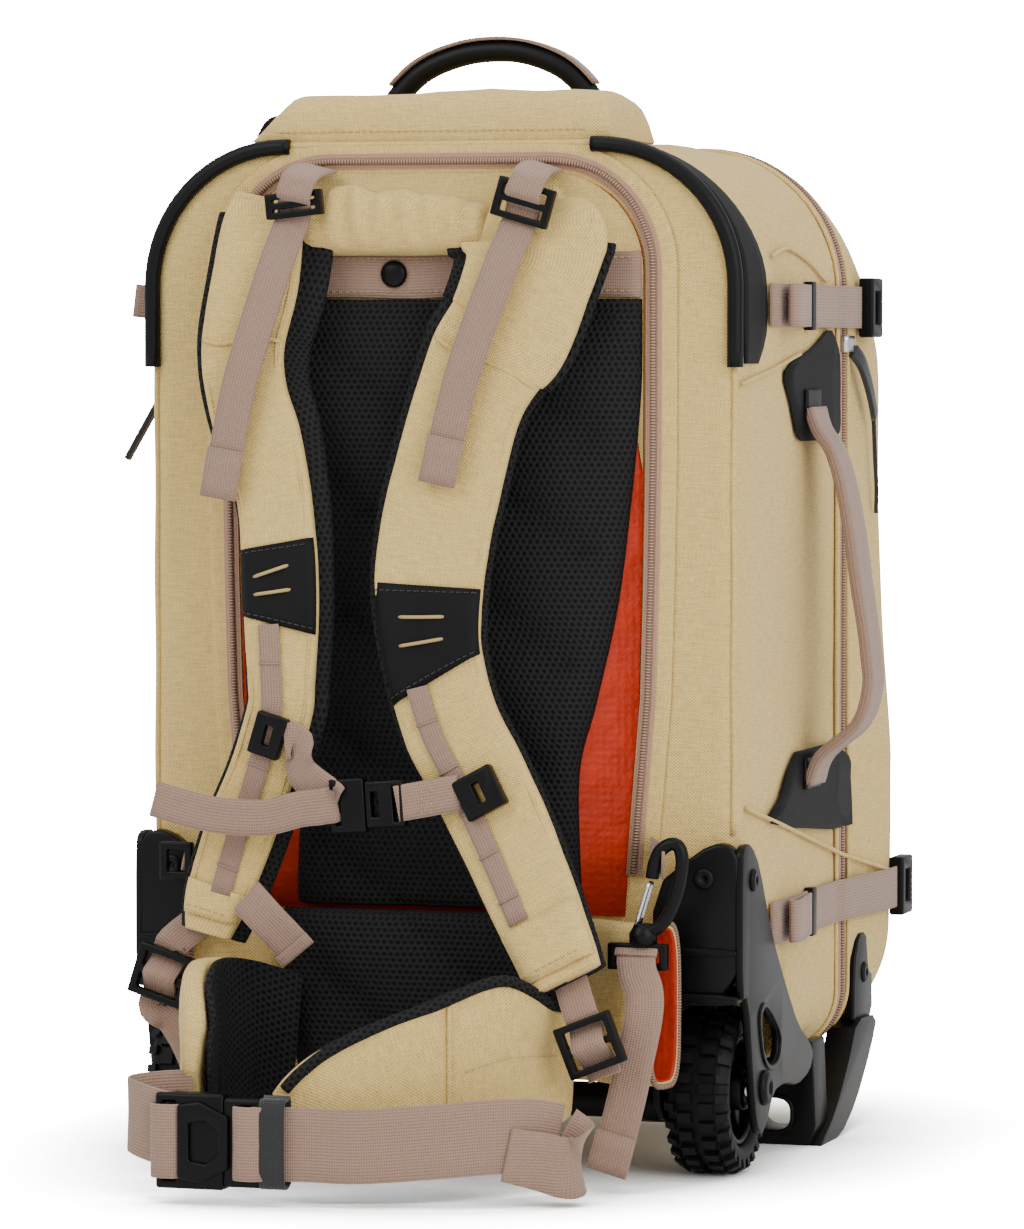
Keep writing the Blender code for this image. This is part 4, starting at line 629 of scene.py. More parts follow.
def outline_ring(row, inset=0.0, corner_steps=14, side_steps=22):
    """The pack's outline at one depth, going round from the right side over the top."""
    depth, width, top_share, low_share, corner = row
    half = HALF * width - inset
    top = FLOOR + (TOP - FLOOR) * top_share - inset
    low = FLOOR + (TOP - FLOOR) * low_share + inset
    high, small = TOP_CORNER * corner - inset, LOW_CORNER * corner - inset
    high, small = max(high, 0.012), max(small, 0.010)
    corners = [(half - high, top - high, high, 0.0), (-half + high, top - high, high, 0.25),
               (-half + small, low + small, small, 0.5), (half - small, low + small, small, 0.75)]
    ring = []
    for across, height, radius, turn in corners:
        for k in range(corner_steps + 1):
            angle = math.tau * (turn + 0.25 * k / corner_steps)
            ring.append(Vector((across + radius * math.cos(angle), depth,
                                height + radius * math.sin(angle))))
    full = []
    for i, point in enumerate(ring):
        full.append(point)
        if i % (corner_steps + 1) == corner_steps:
            follower = ring[(i + 1) % len(ring)]
            full += [point.lerp(follower, k / side_steps) for k in range(1, side_steps)]
    for point in full:
        point.x += math.copysign(fullness(depth, point.z) * min(1.0, abs(point.x) / 0.12), point.x)
    return full


def shell_row(depth):
    """The shell's row at a depth between two of the given rows."""
    table = np.array(SHELL_ROWS)
    return (depth, *(float(np.interp(depth, table[:, 0], table[:, k])) for k in range(1, 5)))


def side_reach(depth, height):
    """How far the pack's side stands from its middle plane at a depth and a height."""
    _, width, top, low, corner = shell_row(depth)
    half = HALF * width + fullness(depth, height)
    above = height - (FLOOR + (TOP - FLOOR) * top - TOP_CORNER * corner)
    below = (FLOOR + (TOP - FLOOR) * low + LOW_CORNER * corner) - height
    for over, radius in ((above, TOP_CORNER * corner), (below, LOW_CORNER * corner)):
        if over > 0:
            return half - radius + math.sqrt(max(radius**2 - over**2, 0.0))
    return half


def on_side(depth, height, lift=0.0, side=1):
    """A place on the pack's side."""
    return Vector((side * (side_reach(depth, height) + lift), depth, height))


def build_shell(settings):
    """One soft skin from the harness face over the sides to the front panel."""
    rows = smooth(SHELL_ROWS, 5)
    rings = []
    middle = Vector((0, 0, (TOP + FLOOR) / 2))
    face = outline_ring((0.0, *SHELL_ROWS[0][1:]), EDGE)
    for share in (0.04, 0.2, 0.36, 0.5, 0.62, 0.72, 0.8, 0.86, 0.91, 0.95, 0.98):
        rings.append([middle + (point - middle) * share for point in face])
    for k in range(5):
        angle = math.radians(90 * k / 4)
        inset = EDGE * (1 - math.sin(angle))
        depth = EDGE * (1 - math.cos(angle))
        rings.append(outline_ring((depth, *SHELL_ROWS[0][1:]), inset))
    rings += [outline_ring(row) for row in rows]
    centre = Vector((0, rows[-1][0], (TOP + FLOOR) / 2))
    for share, lift in ((0.96, 0.0016), (0.88, 0.0035), (0.72, 0.005), (0.5, 0.006), (0.25, 0.006),
                        (0.04, 0.006)):
        rings.append([centre + (point - centre) * share + Vector((0, lift, 0))
                      for point in outline_ring(rows[-1])])
    found = []
    for i, ring in enumerate(rings):
        moved = []
        for point in ring:
            radial = Vector((point.x, 0, point.z - middle.z))
            radial.normalize()
            soft = settings.crumple * (wave(point, 0.075, 1.0) * 1.5 + wave(point, 0.030, 4.0) * 0.55)
            if i < 11:
                moved.append(point + Vector((0, 0.0002 + 0.5 * abs(soft), 0)))
            elif point.y > 0.3495:
                moved.append(point + Vector((0, soft, 0)))
            else:
                ease = min(1.0, max(0.0, (point.y - 0.012) / 0.03))
                seam = math.exp(-((point.y - DEPTH) / 0.010) ** 2)
                moved.append(point + radial * (soft * 1.25 * ease * (1 - 0.8 * seam) - 0.0002))
        found.append(moved)
    shell = loft("shell", found, "canvas", ("pack_shell", "front_panel"), box=True)
    for side in (-1, 1):
        inner, outer = side * 0.1255, side * 0.21
        corners = [(inner, -0.03), (outer, -0.03), (outer, 0.098), (inner, 0.098)]
        block = loft("well", [[Vector((x, y, z)) for x, y in corners] for z in (0.0, 0.110)], "canvas",
                     box=True)
        cut_out(shell, block)
    return shell


def cut_out(target, tool):
    """Cuts one closed piece out of another and removes the tool."""
    bpy.ops.object.select_all(action="DESELECT")
    bpy.context.view_layer.objects.active = target
    target.select_set(True)
    step = target.modifiers.new("cut", "BOOLEAN")
    step.operation = "DIFFERENCE"
    step.solver = "EXACT"
    step.object = tool
    bpy.ops.object.modifier_apply(modifier=step.name)
    bpy.data.objects.remove(tool, do_unlink=True)


def build_main_zip():
    """Tape and coil of the main zip, over the seam of the front panel."""
    row = (DEPTH, 0.996, 0.998, 0.0, 1.0)
    for name, kind, low, high, half in (("main_tape", "zip_tape", 0.0003, 0.0015, 0.0072),
                                        ("main_coil", "zip_coil", 0.0012, 0.0031, 0.0021)):
        lean = Vector((0, half, 0))
        slope = Vector((0, half * 0.8, 0))
        rings = [[a - lean, a + lean, b + slope, b - slope]
                 for a, b in zip(outline_ring(row, -low), outline_ring(row, -high))]
        loft(name, rings, kind, ("main_zip",) if kind == "zip_tape" else (), closed_path=True)
    for name, depth in (("near", DEPTH - WELT_GAP), ("far", DEPTH + WELT_GAP)):
        rings = []
        for point in outline_ring(shell_row(depth), -WELT_RADIUS / 2):
            out = Vector((point.x, 0, point.z - 0.32)).normalized()
            rings.append([point + out * (WELT_RADIUS * math.cos(a))
                          + ALONG_Y * (1.6 * WELT_RADIUS * math.sin(a)) for a in angles(6)])
        loft(f"main_welt_{name}", rings, "canvas", closed_path=True)


def build_top():
    """The padded flap over the pull handle, its zip pull and the grab handle."""
    rows = smooth([(-1.085, 0.92, 0.03), (-1.06, 0.95, 0.12), (-0.98, 0.98, 0.48), (-0.90, 1.0, 0.78),
                   (-0.80, 1.0, 0.92), (-0.30, 1.0, 0.99), (0.30, 1.0, 1.02), (0.80, 1.0, 0.98),
                   (0.93, 0.98, 0.90), (1.0, 0.95, 0.60), (1.03, 0.92, 0.10)], 6)
    profile = [(0.0, -0.17), (-0.004, 0.16), (0.0, 0.45), (0.02, 0.66), (0.06, 0.82), (0.13, 0.93),
               (0.22, 0.985), (0.35, 1.0), (0.5, 1.0), (0.65, 0.99), (0.78, 0.94), (0.88, 0.84),
               (0.95, 0.66), (0.99, 0.4), (1.0, -0.06)]
    wide, deep, rise, start = 0.214, 0.092, 0.0285, 0.003
    rings = []
    for across, share, high in rows:
        slack = deep * (1 - share) / 2
        ring = []
        for along, up in profile:
            place = Vector((across * wide / 2 * (0.92 if across > 0 else 1.0),
                            start + slack + along * deep * share, TOP + 0.0004 + up * rise * high))
            dent = 0.0016 * wave(place, 0.035, 3.0) + 0.0010 * wave(place, 0.015, 8.0)
            ring.append(place + Vector((0, -0.4 * dent, dent if up > 0 else 0)))
        rings.append(ring)
    loft("flap", rings, "canvas", ("top_flap",), box=True)
    edge = [Vector((x, start - 0.0006, TOP - 0.0028)) for x in np.linspace(-0.104, 0.096, 24)]
    tube("flap_piping", "canvas", edge, 0.0024, 8)
    stitches("flap_stitch", [(x, start - 0.0010, TOP + 0.0052) for x in np.linspace(-0.098, 0.090, 12)],
             lambda place: Vector((0, -1, 0.1)))
    under = [Vector((x, 0.0045 + 0.00002 * abs(x), 0.5845 - 0.16 * max(0.0, abs(x) - 0.085) ** 1.3))
             for x in np.linspace(-0.118, 0.118, 40)]
    tube("face_piping", "canvas", [point - Vector((0, 0.0044, 0)) for point in under], 0.0016, 8)
    left, right, depth, tall = -0.072, 0.066, 0.110, 0.056
    arch = [(-1.0, -0.02), (-1.0, 0.12), (-0.92, 0.42), (-0.66, 0.77), (-0.33, 0.95), (0.0, 1.0),
            (0.33, 0.95), (0.66, 0.77), (0.92, 0.42), (1.0, 0.12), (1.0, -0.02)]
    path = smooth_path([(x * (right if x > 0 else -left), depth, TOP + z * tall) for x, z in arch], 5)
    tube("grab_core", "rubber", path, 0.0066, 14, replaced=("grab_handle",))
    crest = [point for point in path if point.z > TOP + 0.030]
    band("grab_webbing", "webbing", crest, 0.0125, 0.0018, ALONG_Y, lift=0.0073 * grab_side(crest))
    for side_name, x in (("left", left), ("right", right)):
        foot = [Vector((x, depth, TOP + z)) for z in (0.0006, 0.004, 0.010, 0.016)]
        tube(f"grab_end_{side_name}", "rubber", foot, 0.0084, 12)
    pull = smooth_path([(-0.1190, 0.030, 0.5945), (-0.1140, 0.027, 0.6010), (-0.1080, 0.024, 0.6045)], 4)
    band("flap_pull", "plastic", pull, 0.0060, 0.0026, ALONG_Y)


def grab_side(points):
    """Sign that carries a band on the arch to the arch's outer side."""
    _, _, out = frames_along(points, ALONG_Y)[len(points) // 2]
    return 1.0 if out.z > 0 else -1.0


def corner_path(side, radius, run, leg, steps=16):
    """A path over a top corner: a short run along the top, an arc and a leg down the side."""
    across = FACE_HALF - FACE_CORNER
    height = FLOOR + (TOP - FLOOR) * FACE_TOP_SHARE - FACE_CORNER
    points = [(across - run, height + radius)]
    for k in range(steps + 1):
        angle = math.radians(90 - 90 * k / steps)
        points.append((across + radius * math.cos(angle), height + radius * math.sin(angle)))
    points += [(across + radius, height - leg * k / 5) for k in range(1, 6)]
    return [(side * x, z) for x, z in points]


def build_guards():
    """The rubber tube and the flat guard over each top corner."""
    for side, side_name in SIDES:
        clear = EDGE + 0.0042 + 0.0003
        lean = math.radians(52)
        radius = FACE_CORNER - EDGE + clear * math.cos(lean)
        depth = EDGE - clear * math.sin(lean)
        points = [Vector((x, depth, z)) for x, z in corner_path(side, radius, 0.004, 0.046)]
        tube(f"guard_{side_name}", "rubber", points, 0.0046, 14, replaced=(f"corner_guard_{side_name}",))
        grid, normals = [], []
        radius = FACE_CORNER
        path = corner_path(side, radius, 0.010, 0.044)
        count = len(path)
        for i, (x, z) in enumerate(path):
            share = i / (count - 1)
            far = float(np.interp(share, (0.0, 0.12, 0.3, 0.5, 0.7, 0.85, 0.93, 1.0),
                                  (0.014, 0.017, 0.027, 0.041, 0.056, 0.061, 0.057, 0.040)))
            near = float(np.interp(share, (0.0, 0.85, 1.0), (0.0095, 0.0095, 0.013)))
            normal = Vector((x - side * (FACE_HALF - radius), 0, max(z, 0.5034) - 0.5034)).normalized()
            if z < 0.504:
                normal = Vector((side, 0, 0))
            grid.append([Vector((x, near + (far - near) * k / 5, z)) for k in range(6)])
            normals.append([normal] * 6)
        flat_shell(f"flat_guard_{side_name}", "patch", grid, normals, 0.0016)


def side_patch(name, outline_rows, kind="patch", lift=0.0003, thickness=0.0014, side=1, columns=7):
    """A flat patch on the pack's side: rows of height, near edge and far edge."""
    grid, normals = [], []
    for height, near, far in smooth(outline_rows, 3):
        row = []
        for k in range(columns):
            depth = near + (far - near) * k / (columns - 1)
            row.append(on_side(depth, height, lift + 0.0012, side))
        grid.append(row)
        normals.append([Vector((side, 0, 0))] * columns)
    return flat_shell(name, kind, grid, normals, thickness)


def build_sides():
    """The compression straps, the tabs on the left, the side handle, the zip pull and the seams."""
    build_side_straps()
    build_left_tabs()
    build_side_handle()
    build_zip_pull()
    build_side_seams()


def build_side_straps():
    """Both compression straps with their buckles, keepers and folded tabs."""
    for prefix, height, start, place in (("upper", 0.496, 0.060, 0.276), ("lower", 0.140, 0.064, 0.338)):
        depths = [*np.linspace(start, 0.205, 7), 0.218, 0.2235, 0.2445, 0.252,
                  *np.linspace(0.262, 0.346, 8)]
        points = []
        for depth in depths:
            over_zip = 0.0032 if abs(depth - DEPTH) < 0.013 else 0.0012 if depth < DEPTH else 0.0026
            points.append(on_side(depth, height, over_zip + 0.0012))
        last = points[-1]
        points += [last + Vector((step, out, 0)) for step, out in ((-0.010, 0.0100), (-0.026, 0.0140),
                                                                   (-0.050, 0.0168), (-0.09, 0.0176))]
        points += [Vector((-point.x, point.y, point.z)) for point in reversed(points)]
        band(f"compression_{prefix}", "webbing", points, 0.025, WEBBING_THICK, UP,
             replaced=(f"compression_strap_{prefix}",))
        for side, side_name in SIDES:
            middle = on_side(place, height, 0.0068, side)
            matrix = Matrix.Translation(middle) @ Matrix.Rotation(math.radians(90) * side, 4, "Z")
            hard_buckle(f"side_buckle_{prefix}_{side_name}", matrix, 0.026, 0.036, 0.009,
                        [(0.0, 0.0, 0.012, 0.020)], (f"compression_buckle_{prefix}_{side_name}",))
            spot = Matrix.Translation(on_side(start + 0.084, height, 0.0035, side))
            hard_buckle(f"side_keeper_{prefix}_{side_name}",
                        spot @ Matrix.Rotation(math.radians(90), 4, "Z"), 0.0095, 0.0285, 0.0055, [])
        for side, side_name in SIDES:
            near = start + 0.022
            loop = [on_side(near + step, height, lift, side)
                    for step, lift in ((0.048, 0.0045), (0.010, 0.0062), (-0.004, 0.0092), (0.003, 0.0120),
                                       (0.024, 0.0098), (0.050, 0.0066))]
            band(f"compression_tab_{prefix}_{side_name}", "webbing", smooth_path(loop, 5), 0.0245, 0.0019,
                 UP)


def build_left_tabs():
    """The webbing tab and the zip pull that show past the left edge."""
    tab = smooth_path([(-0.1772, 0.062, 0.4955), (-0.1900, 0.057, 0.4975), (-0.2065, 0.052, 0.4995)], 4)
    band("tab_left", "webbing", tab, 0.0195, 0.0038, UP, crumple=0.0004)
    pull = smooth_path([(-0.1800, 0.047, 0.4520), (-0.1880, 0.044, 0.4400), (-0.1965, 0.041, 0.4240),
                        (-0.2060, 0.038, 0.4060)], 4)
    band("pull_left", "black_webbing", pull, 0.0070, 0.0026, ALONG_Y)


def build_side_handle():
    """The side handle with its two patches and slots."""
    side_patch("handle_patch_upper", [(0.417, 0.130, 0.190), (0.421, 0.118, 0.219), (0.438, 0.104, 0.221),
                                      (0.458, 0.090, 0.221), (0.471, 0.150, 0.217), (0.482, 0.190, 0.200)])
    side_patch("handle_patch_lower", [(0.184, 0.205, 0.247), (0.198, 0.064, 0.246), (0.212, 0.082, 0.244),
                                      (0.226, 0.098, 0.241), (0.236, 0.116, 0.200)])
    rows = [(1.03, 0.02), (0.97, 0.14), (0.90, 0.40), (0.76, 0.62), (0.55, 0.80), (0.34, 0.98), (0.24, 1.0),
            (0.14, 0.80), (0.05, 0.20), (-0.03, 0.02)]
    points = smooth_path([(HALF + 0.0042 + out * 0.036, 0.150, 0.222 + 0.208 * up) for up, out in rows], 5)
    band("handle", "webbing", points, 0.034, 0.0056, ALONG_Y, crumple=0.0005, replaced=("side_handle",))
    for height in (0.222, 0.438):
        side_patch(f"handle_slot_{'low' if height < 0.3 else 'high'}",
                   [(height - 0.009, 0.133, 0.167), (height + 0.009, 0.133, 0.167)], "rubber", 0.0012,
                   0.0022)


def build_zip_pull():
    """The slider of the main zip with its pull and cord."""
    pull = smooth_path([(0.1815, 0.246, 0.470), (0.1850, 0.254, 0.462), (0.1865, 0.268, 0.446),
                        (0.1860, 0.282, 0.430)], 4)
    band("zip_pull", "black_webbing", pull, 0.0085, 0.0030, UP)
    slider = [Vector((HALF + 0.0030, DEPTH - 0.006 + k * 0.003, 0.474)) for k in range(7)]
    band("zip_slider", "steel", slider, 0.010, 0.0042, UP)
    cord = smooth_path([(0.1850, 0.284, 0.428), (0.1840, 0.292, 0.405), (0.1830, 0.300, 0.386),
                        (0.1815, 0.305, 0.371)], 5)
    tube("zip_cord", "black_webbing", cord, 0.0014, 8)


def build_side_seams():
    """The seams and darts of the sides and the seams down both front corners."""
    seam = [on_side(depth, 0.213 - 0.067 * depth / 0.338, 0.0020)
            for depth in np.linspace(0.014, 0.330, 40)]
    tube("side_seam", "canvas", seam, 0.0014, 6)
    darts = (("high", (0.004, 0.060, 0.100, 0.128), (0.451, 0.458, 0.464, 0.468)),
             ("top", (0.072, 0.110, 0.150, 0.190), (0.524, 0.529, 0.523, 0.511)))
    for name, depths, heights in darts:
        seam = [on_side(depth, height, 0.0018) for depth, height in smooth(list(zip(depths, heights)), 6)]
        tube(f"side_dart_{name}", "canvas", seam, 0.0013, 6)
    for side, side_name in SIDES:
        low = 0.196 if side > 0 else 0.120
        seam = [Vector((side * (FACE_HALF - 0.0024 + 0.0003 * math.sin(60 * z)), 0.0024, z))
                for z in np.linspace(low, 0.505, 40)]
        tube(f"corner_seam_{side_name}", "canvas", seam, 0.0017, 8)


# Hard pieces


def apply_steps(made):
    """Applies the piece's modifiers in order."""
    bpy.ops.object.select_all(action="DESELECT")
    bpy.context.view_layer.objects.active = made
    made.select_set(True)
    for step in list(made.modifiers):
        bpy.ops.object.modifier_apply(modifier=step.name)
    made.data.shade_smooth()
    bpy.ops.object.shade_smooth_by_angle(angle=math.radians(40))


def rounded_block(name, size, bevel, matrix, kind="plastic", replaced=(), windows=(), body=ROOT):
    """A block with rounded edges: size across X, deep Y and high Z, with windows through it along Y."""
    bpy.ops.object.select_all(action="DESELECT")
    bpy.ops.mesh.primitive_cube_add(size=1.0)
    made = bpy.context.object
    made.name = name
    made.data.transform(Matrix.Diagonal((*size, 1.0)))
    for x, z, width, height in windows:
        bpy.ops.object.select_all(action="DESELECT")
        bpy.ops.mesh.primitive_cube_add(size=1.0)
        tool = bpy.context.object
        scale = Matrix.Diagonal((width, size[1] * 3, height, 1.0))
        tool.data.transform(Matrix.Translation((x, 0, z)) @ scale)
        cut_out(made, tool)
    bevelled(made, bevel, 30)
    made.data.transform(Matrix.Translation(SHIFT) @ matrix)
    return finish_piece(made, kind, replaced, body)


def bevelled(made, width, sharpest=28):
    """Bevels a hard piece's edges that turn by more than some degrees, and shades it."""
    step = made.modifiers.new("bevel", "BEVEL")
    step.width = width
    step.segments = 3
    step.limit_method = "ANGLE"
    step.angle_limit = math.radians(sharpest)
    apply_steps(made)
    return made


def hard_buckle(name, matrix, width, height, thickness, windows, replaced=()):
    """A buckle frame or block seen along Y, with its windows."""
    bevel = min(thickness, width, height) * 0.16
    return rounded_block(name, (width, thickness, height), bevel, matrix, "plastic", replaced, windows)


def placing(centre, across, along):
    """A matrix whose X runs across a buckle, whose Z runs along the webbing and whose Y looks out."""
    x = across.normalized()
    z = (along - along.dot(x) * x).normalized()
    y = z.cross(x)
    return Matrix.Translation(centre) @ Matrix((x, y, z)).transposed().to_4x4()


# The harness

# Depth of the canvas panel behind the straps
BACKING = -0.0022
NARROW_WEBBING = 0.0205
WEBBING_THICK = 0.0017
BELT_THICK = 0.0019
PAD_HALF = 0.1275
ZIP_HALF = 0.1275
# Top, lower ends and corner radius of the harness zip
ZIP_SHAPE = (0.578, 0.172, 0.062)


def zip_path(half, top, low, corner, steps=14):
    """The harness opening: up the right side, over the top and down the left side."""
    right = [(half * 0.91, low), (half * 0.93, low + 0.08 * (top - low)),
             (half * 0.975, low + 0.25 * (top - low)), (half * 0.99, low + 0.42 * (top - low)),
             (half, low + 0.6 * (top - low))]
    for k in range(steps + 1):
        angle = math.radians(90 * k / steps)
        right.append((half - corner + corner * math.cos(angle), top - corner + corner * math.sin(angle)))
    return right + [(-x, z) for x, z in reversed(right)]


def build_face():
    """The zip round the harness, the lining and the canvas panel behind the straps."""
    for name, kind, width, thick, y in (("harness_tape", "canvas", 0.018, 0.0011, -0.0009),
                                        ("harness_tape_inner", "zip_tape", 0.0092, 0.0012, -0.0016)):
        half = ZIP_HALF + (0.0045 if kind == "canvas" else 0.0)
        points = [Vector((x, y, z)) for x, z in zip_path(half, *ZIP_SHAPE)]
        band(name, kind, points, width, thick, None,
             replaced=("harness_zip",) if kind == "zip_tape" else ())
    coil = []
    for x, z in zip_path(ZIP_HALF, *ZIP_SHAPE):
        warp = 0.0016 * wave((x, 0, z), 0.030, 2.0) * max(0.0, min(1.0, (z - 0.30) / 0.2))
        coil.append(Vector((x, -0.0030 - abs(warp), z + warp)))
    tube("harness_coil", "zip_coil", coil, 0.0018, 10, flat=0.85)
    inner = zip_path(0.1215, 0.571, 0.1485, 0.056)
    cover = [[Vector((x, y, z)) for x, z in inner] for y in (-0.0004, -0.0016)]
    lining = loft("harness_lining", cover, "lining", ("harness_backing",), box=True)
    top = [(x, z) for x, z in inner if z > 0.395]
    panel = [[Vector((x * 0.998, y, z)) for x, z in [(0.1165, 0.430), *top, (-0.1180, 0.400)]]
             for y in (-0.0017, -0.0024)]
    made = loft("harness_panel", panel, "canvas", box=True)


# Section of a pad: share across and share of its thickness
PAD_EDGE = [(1.0, 0.0), (0.985, 0.35), (0.95, 0.62), (0.88, 0.84), (0.78, 0.95)]
PAD_PROFILE = [(-across, out) for across, out in PAD_EDGE]
PAD_PROFILE += [(k / 12, 1.0) for k in range(-8, 9)] + PAD_EDGE[::-1]


def build_pad(name, rows, base, low, high, thickness, replaced):
    """A crowned pad of spacer mesh with diagonal quilting."""
    rings = []
    for height, width, deep in smooth(rows, 10):
        ring = []
        for across, out in PAD_PROFILE:
            x = across * PAD_HALF * width
            z = low + (high - low) * height
            quilt = 0.0
            if out > 0.9:
                first = abs(math.sin((0.75 * x + z) / 0.070 * math.pi)) ** 0.5
                second = abs(math.sin((x - 0.20) / 0.085 * math.pi)) ** 0.5
                quilt = 0.0090 * (0.75 * first + 0.25 * second - 0.9)
            ring.append(Vector((x, base - thickness * deep * out - quilt, z)))
        rings.append(ring)
    made = loft(name, rings, "spacer_mesh", replaced)
    return made


def build_back():
    """The back pad, the lumbar pad, the belt sleeve, the webbing band and the yoke."""
    rows = [(0.0, 0.66, 0.55), (0.03, 0.67, 0.95), (0.22, 0.66, 1.0), (0.34, 0.74, 1.0), (0.50, 0.84, 0.95),
            (0.67, 0.90, 0.92), (0.82, 0.94, 0.88), (0.90, 0.95, 0.85), (1.0, 0.95, 0.45)]
    build_pad("back_cushion", rows, BACKING - 0.0005, 0.1515, 0.499, 0.014, ("back_pad",))
    rows = [(0.0, 0.55, 0.45), (0.10, 0.60, 0.90), (0.50, 0.66, 1.0), (0.92, 0.68, 0.95), (1.0, 0.67, 0.60)]
    build_pad("lumbar_cushion", rows, -0.0255, 0.048, 0.151, 0.016, ("lumbar_pad",))
    build_sleeve()
    points = [Vector((x, -0.0036, 0.513 + 0.0012 * wave((x, 0, 0), 0.04)))
              for x in np.linspace(-0.1208, 0.1208, 40)]
    band("upper_band", "webbing", points, 0.026, 0.0018, UP, replaced=("harness_band",))
    for height in (0.5035, 0.5225):
        stitches(f"upper_band_stitch_{'low' if height < 0.51 else 'high'}",
                 [(x, -0.0048, height) for x in np.linspace(-0.119, 0.119, 8)],
                 lambda place: Vector((0, -1, 0)))
    rows = smooth([(-0.084, 0.50, 0.25), (-0.078, 0.80, 0.85), (-0.064, 1.02, 1.1), (-0.050, 1.10, 1.0),
                   (-0.036, 0.98, 1.1), (-0.022, 1.03, 1.0), (-0.008, 0.94, 1.1), (0.006, 0.92, 1.0),
                   (0.018, 0.84, 1.1), (0.030, 0.76, 0.9), (0.036, 0.60, 0.3)], 5)
    profile = [(0.0, 0.0), (0.0, 0.35), (0.03, 0.62), (0.10, 0.86), (0.25, 1.0), (0.45, 1.04), (0.62, 1.0),
               (0.78, 0.9), (0.90, 0.72), (0.97, 0.5), (1.0, 0.25), (1.0, 0.0)]
    rings = []
    for across, top, deep in rows:
        ring = []
        for up, out in profile:
            place = Vector((across, -0.0034 - out * 0.0175 * deep, 0.524 + up * 0.037 * top))
            fold = 0.0020 * math.sin(across * 430 + up * 2.6) * out * (0.3 + up)
            fold += 0.0024 * wave(place, 0.020, 9.0) * out
            ring.append(place + Vector((0, -fold, 0.6 * fold)))
        rings.append(ring)
    loft("yoke_cushion", rings, "canvas", ("yoke",), box=True)


def build_sleeve():
    """The sleeve behind the lumbar pad with its open slanting mouths, lining and coil piping."""
    shape = [(math.cos(a), math.sin(a)) for a in angles(36)]
    shape = [(math.copysign(abs(a) ** 0.55, a), math.copysign(abs(b) ** 0.5, b)) for a, b in shape]
    middle, tall, deep = 0.102, 0.046, 0.012

    def ring(station, inset, slant, forward, reach=0.0):
        found = []
        for up, out in shape:
            z = middle + up * (tall - inset)
            y = -0.0125 - out * (deep - inset) - forward * 0.0175
            x = math.copysign(abs(station) * 0.147 + reach - 0.010 * slant * (1 + out) / 2, station)
            fold = 0.0012 * wave((x, y, z), 0.022, 6.0) * (1 - inset / 0.01)
            found.append(Vector((x, y + fold, z)))
        return found

    stations = [(0.0, 0.0, 0.0), (0.3, 0.0, 0.0), (0.58, 0.0, 0.0), (0.68, 0.0, 0.3), (0.80, 0.0, 1.0),
                (0.9, 0.5, 1.0), (1.0, 1.0, 1.0)]
    whole, mouth_part = smooth(stations, 5), smooth(stations[3:], 5)
    for side, side_name in SIDES:
        def skin(rows, inset, least=0.0):
            return [ring(side * max(station, least), inset, slant, forward)
                    for station, slant, forward in rows]

        cloth = skin(whole, 0.0, 0.004) + skin(mouth_part[::-1], 0.0024)
        loft(f"sleeve_{side_name}", cloth, "canvas", ("belt_sleeve",) if side > 0 else (), box=True)
        lined = skin(mouth_part, 0.0028) + skin(mouth_part[::-1], 0.0036)
        loft(f"sleeve_lining_{side_name}", lined, "lining", box=True)
        mouth = ring(side * 1.0, -0.0002, 1.0, 1.0)
        rings = []
        for point in mouth:
            out = (point - Vector((point.x, -0.030, middle))).normalized()
            rings.append([point + out * (0.0017 * math.cos(a)) + ALONG_X * (0.0017 * math.sin(a))
                          for a in angles(6)])
        loft(f"sleeve_piping_{side_name}", rings, "zip_coil", closed_path=True)


# Rows of a strap from the top down: shares of height, place across, standoff and width
RIGHT_STRAP = [(0.940, 0.318, 0.02, 0.62), (0.922, 0.330, 0.12, 0.84), (0.904, 0.352, 0.22, 1.34),
               (0.888, 0.356, 0.30, 1.38), (0.863, 0.345, 0.42, 1.22), (0.815, 0.292, 0.56, 1.20),
               (0.786, 0.225, 0.62, 1.12), (0.743, 0.165, 0.70, 1.02), (0.683, 0.115, 0.80, 1.04),
               (0.623, 0.074, 0.90, 1.05), (0.562, 0.058, 1.00, 1.02), (0.502, 0.077, 1.04, 0.93),
               (0.442, 0.131, 1.03, 0.93), (0.388, 0.226, 1.03, 0.93), (0.328, 0.335, 1.16, 0.90),
               (0.268, 0.447, 1.42, 0.84), (0.232, 0.515, 1.62, 0.78), (0.198, 0.575, 1.80, 0.72)]
LEFT_STRAP = [(0.934, -0.556, 0.00, 0.68), (0.916, -0.568, 0.12, 0.78), (0.863, -0.572, 0.42, 0.84),
              (0.803, -0.600, 0.58, 0.80), (0.755, -0.582, 0.66, 0.78), (0.707, -0.528, 0.74, 0.80),
              (0.659, -0.478, 0.84, 0.72), (0.611, -0.453, 0.92, 0.72), (0.562, -0.440, 1.00, 0.73),
              (0.526, -0.435, 1.03, 0.70), (0.478, -0.435, 1.05, 0.64), (0.448, -0.442, 1.04, 0.62),
              (0.388, -0.505, 1.03, 0.62), (0.328, -0.580, 1.06, 0.66), (0.268, -0.645, 1.16, 0.60),
              (0.232, -0.675, 1.20, 0.44)]
# Both ends of the cords on each strap patch: share across and share down the patch
CORDS = {
    "right": (((-0.52, 0.30), (0.34, 0.36)), ((-0.58, 0.56), (0.30, 0.62))),
    "left": (((-0.62, 0.42), (0.30, 0.28)), ((-0.62, 0.66), (0.34, 0.56))),
}
STRAP_PROFILE = rounded_profile(28, 0.42)
SOFT_PROFILE = rounded_profile(28, 0.55)


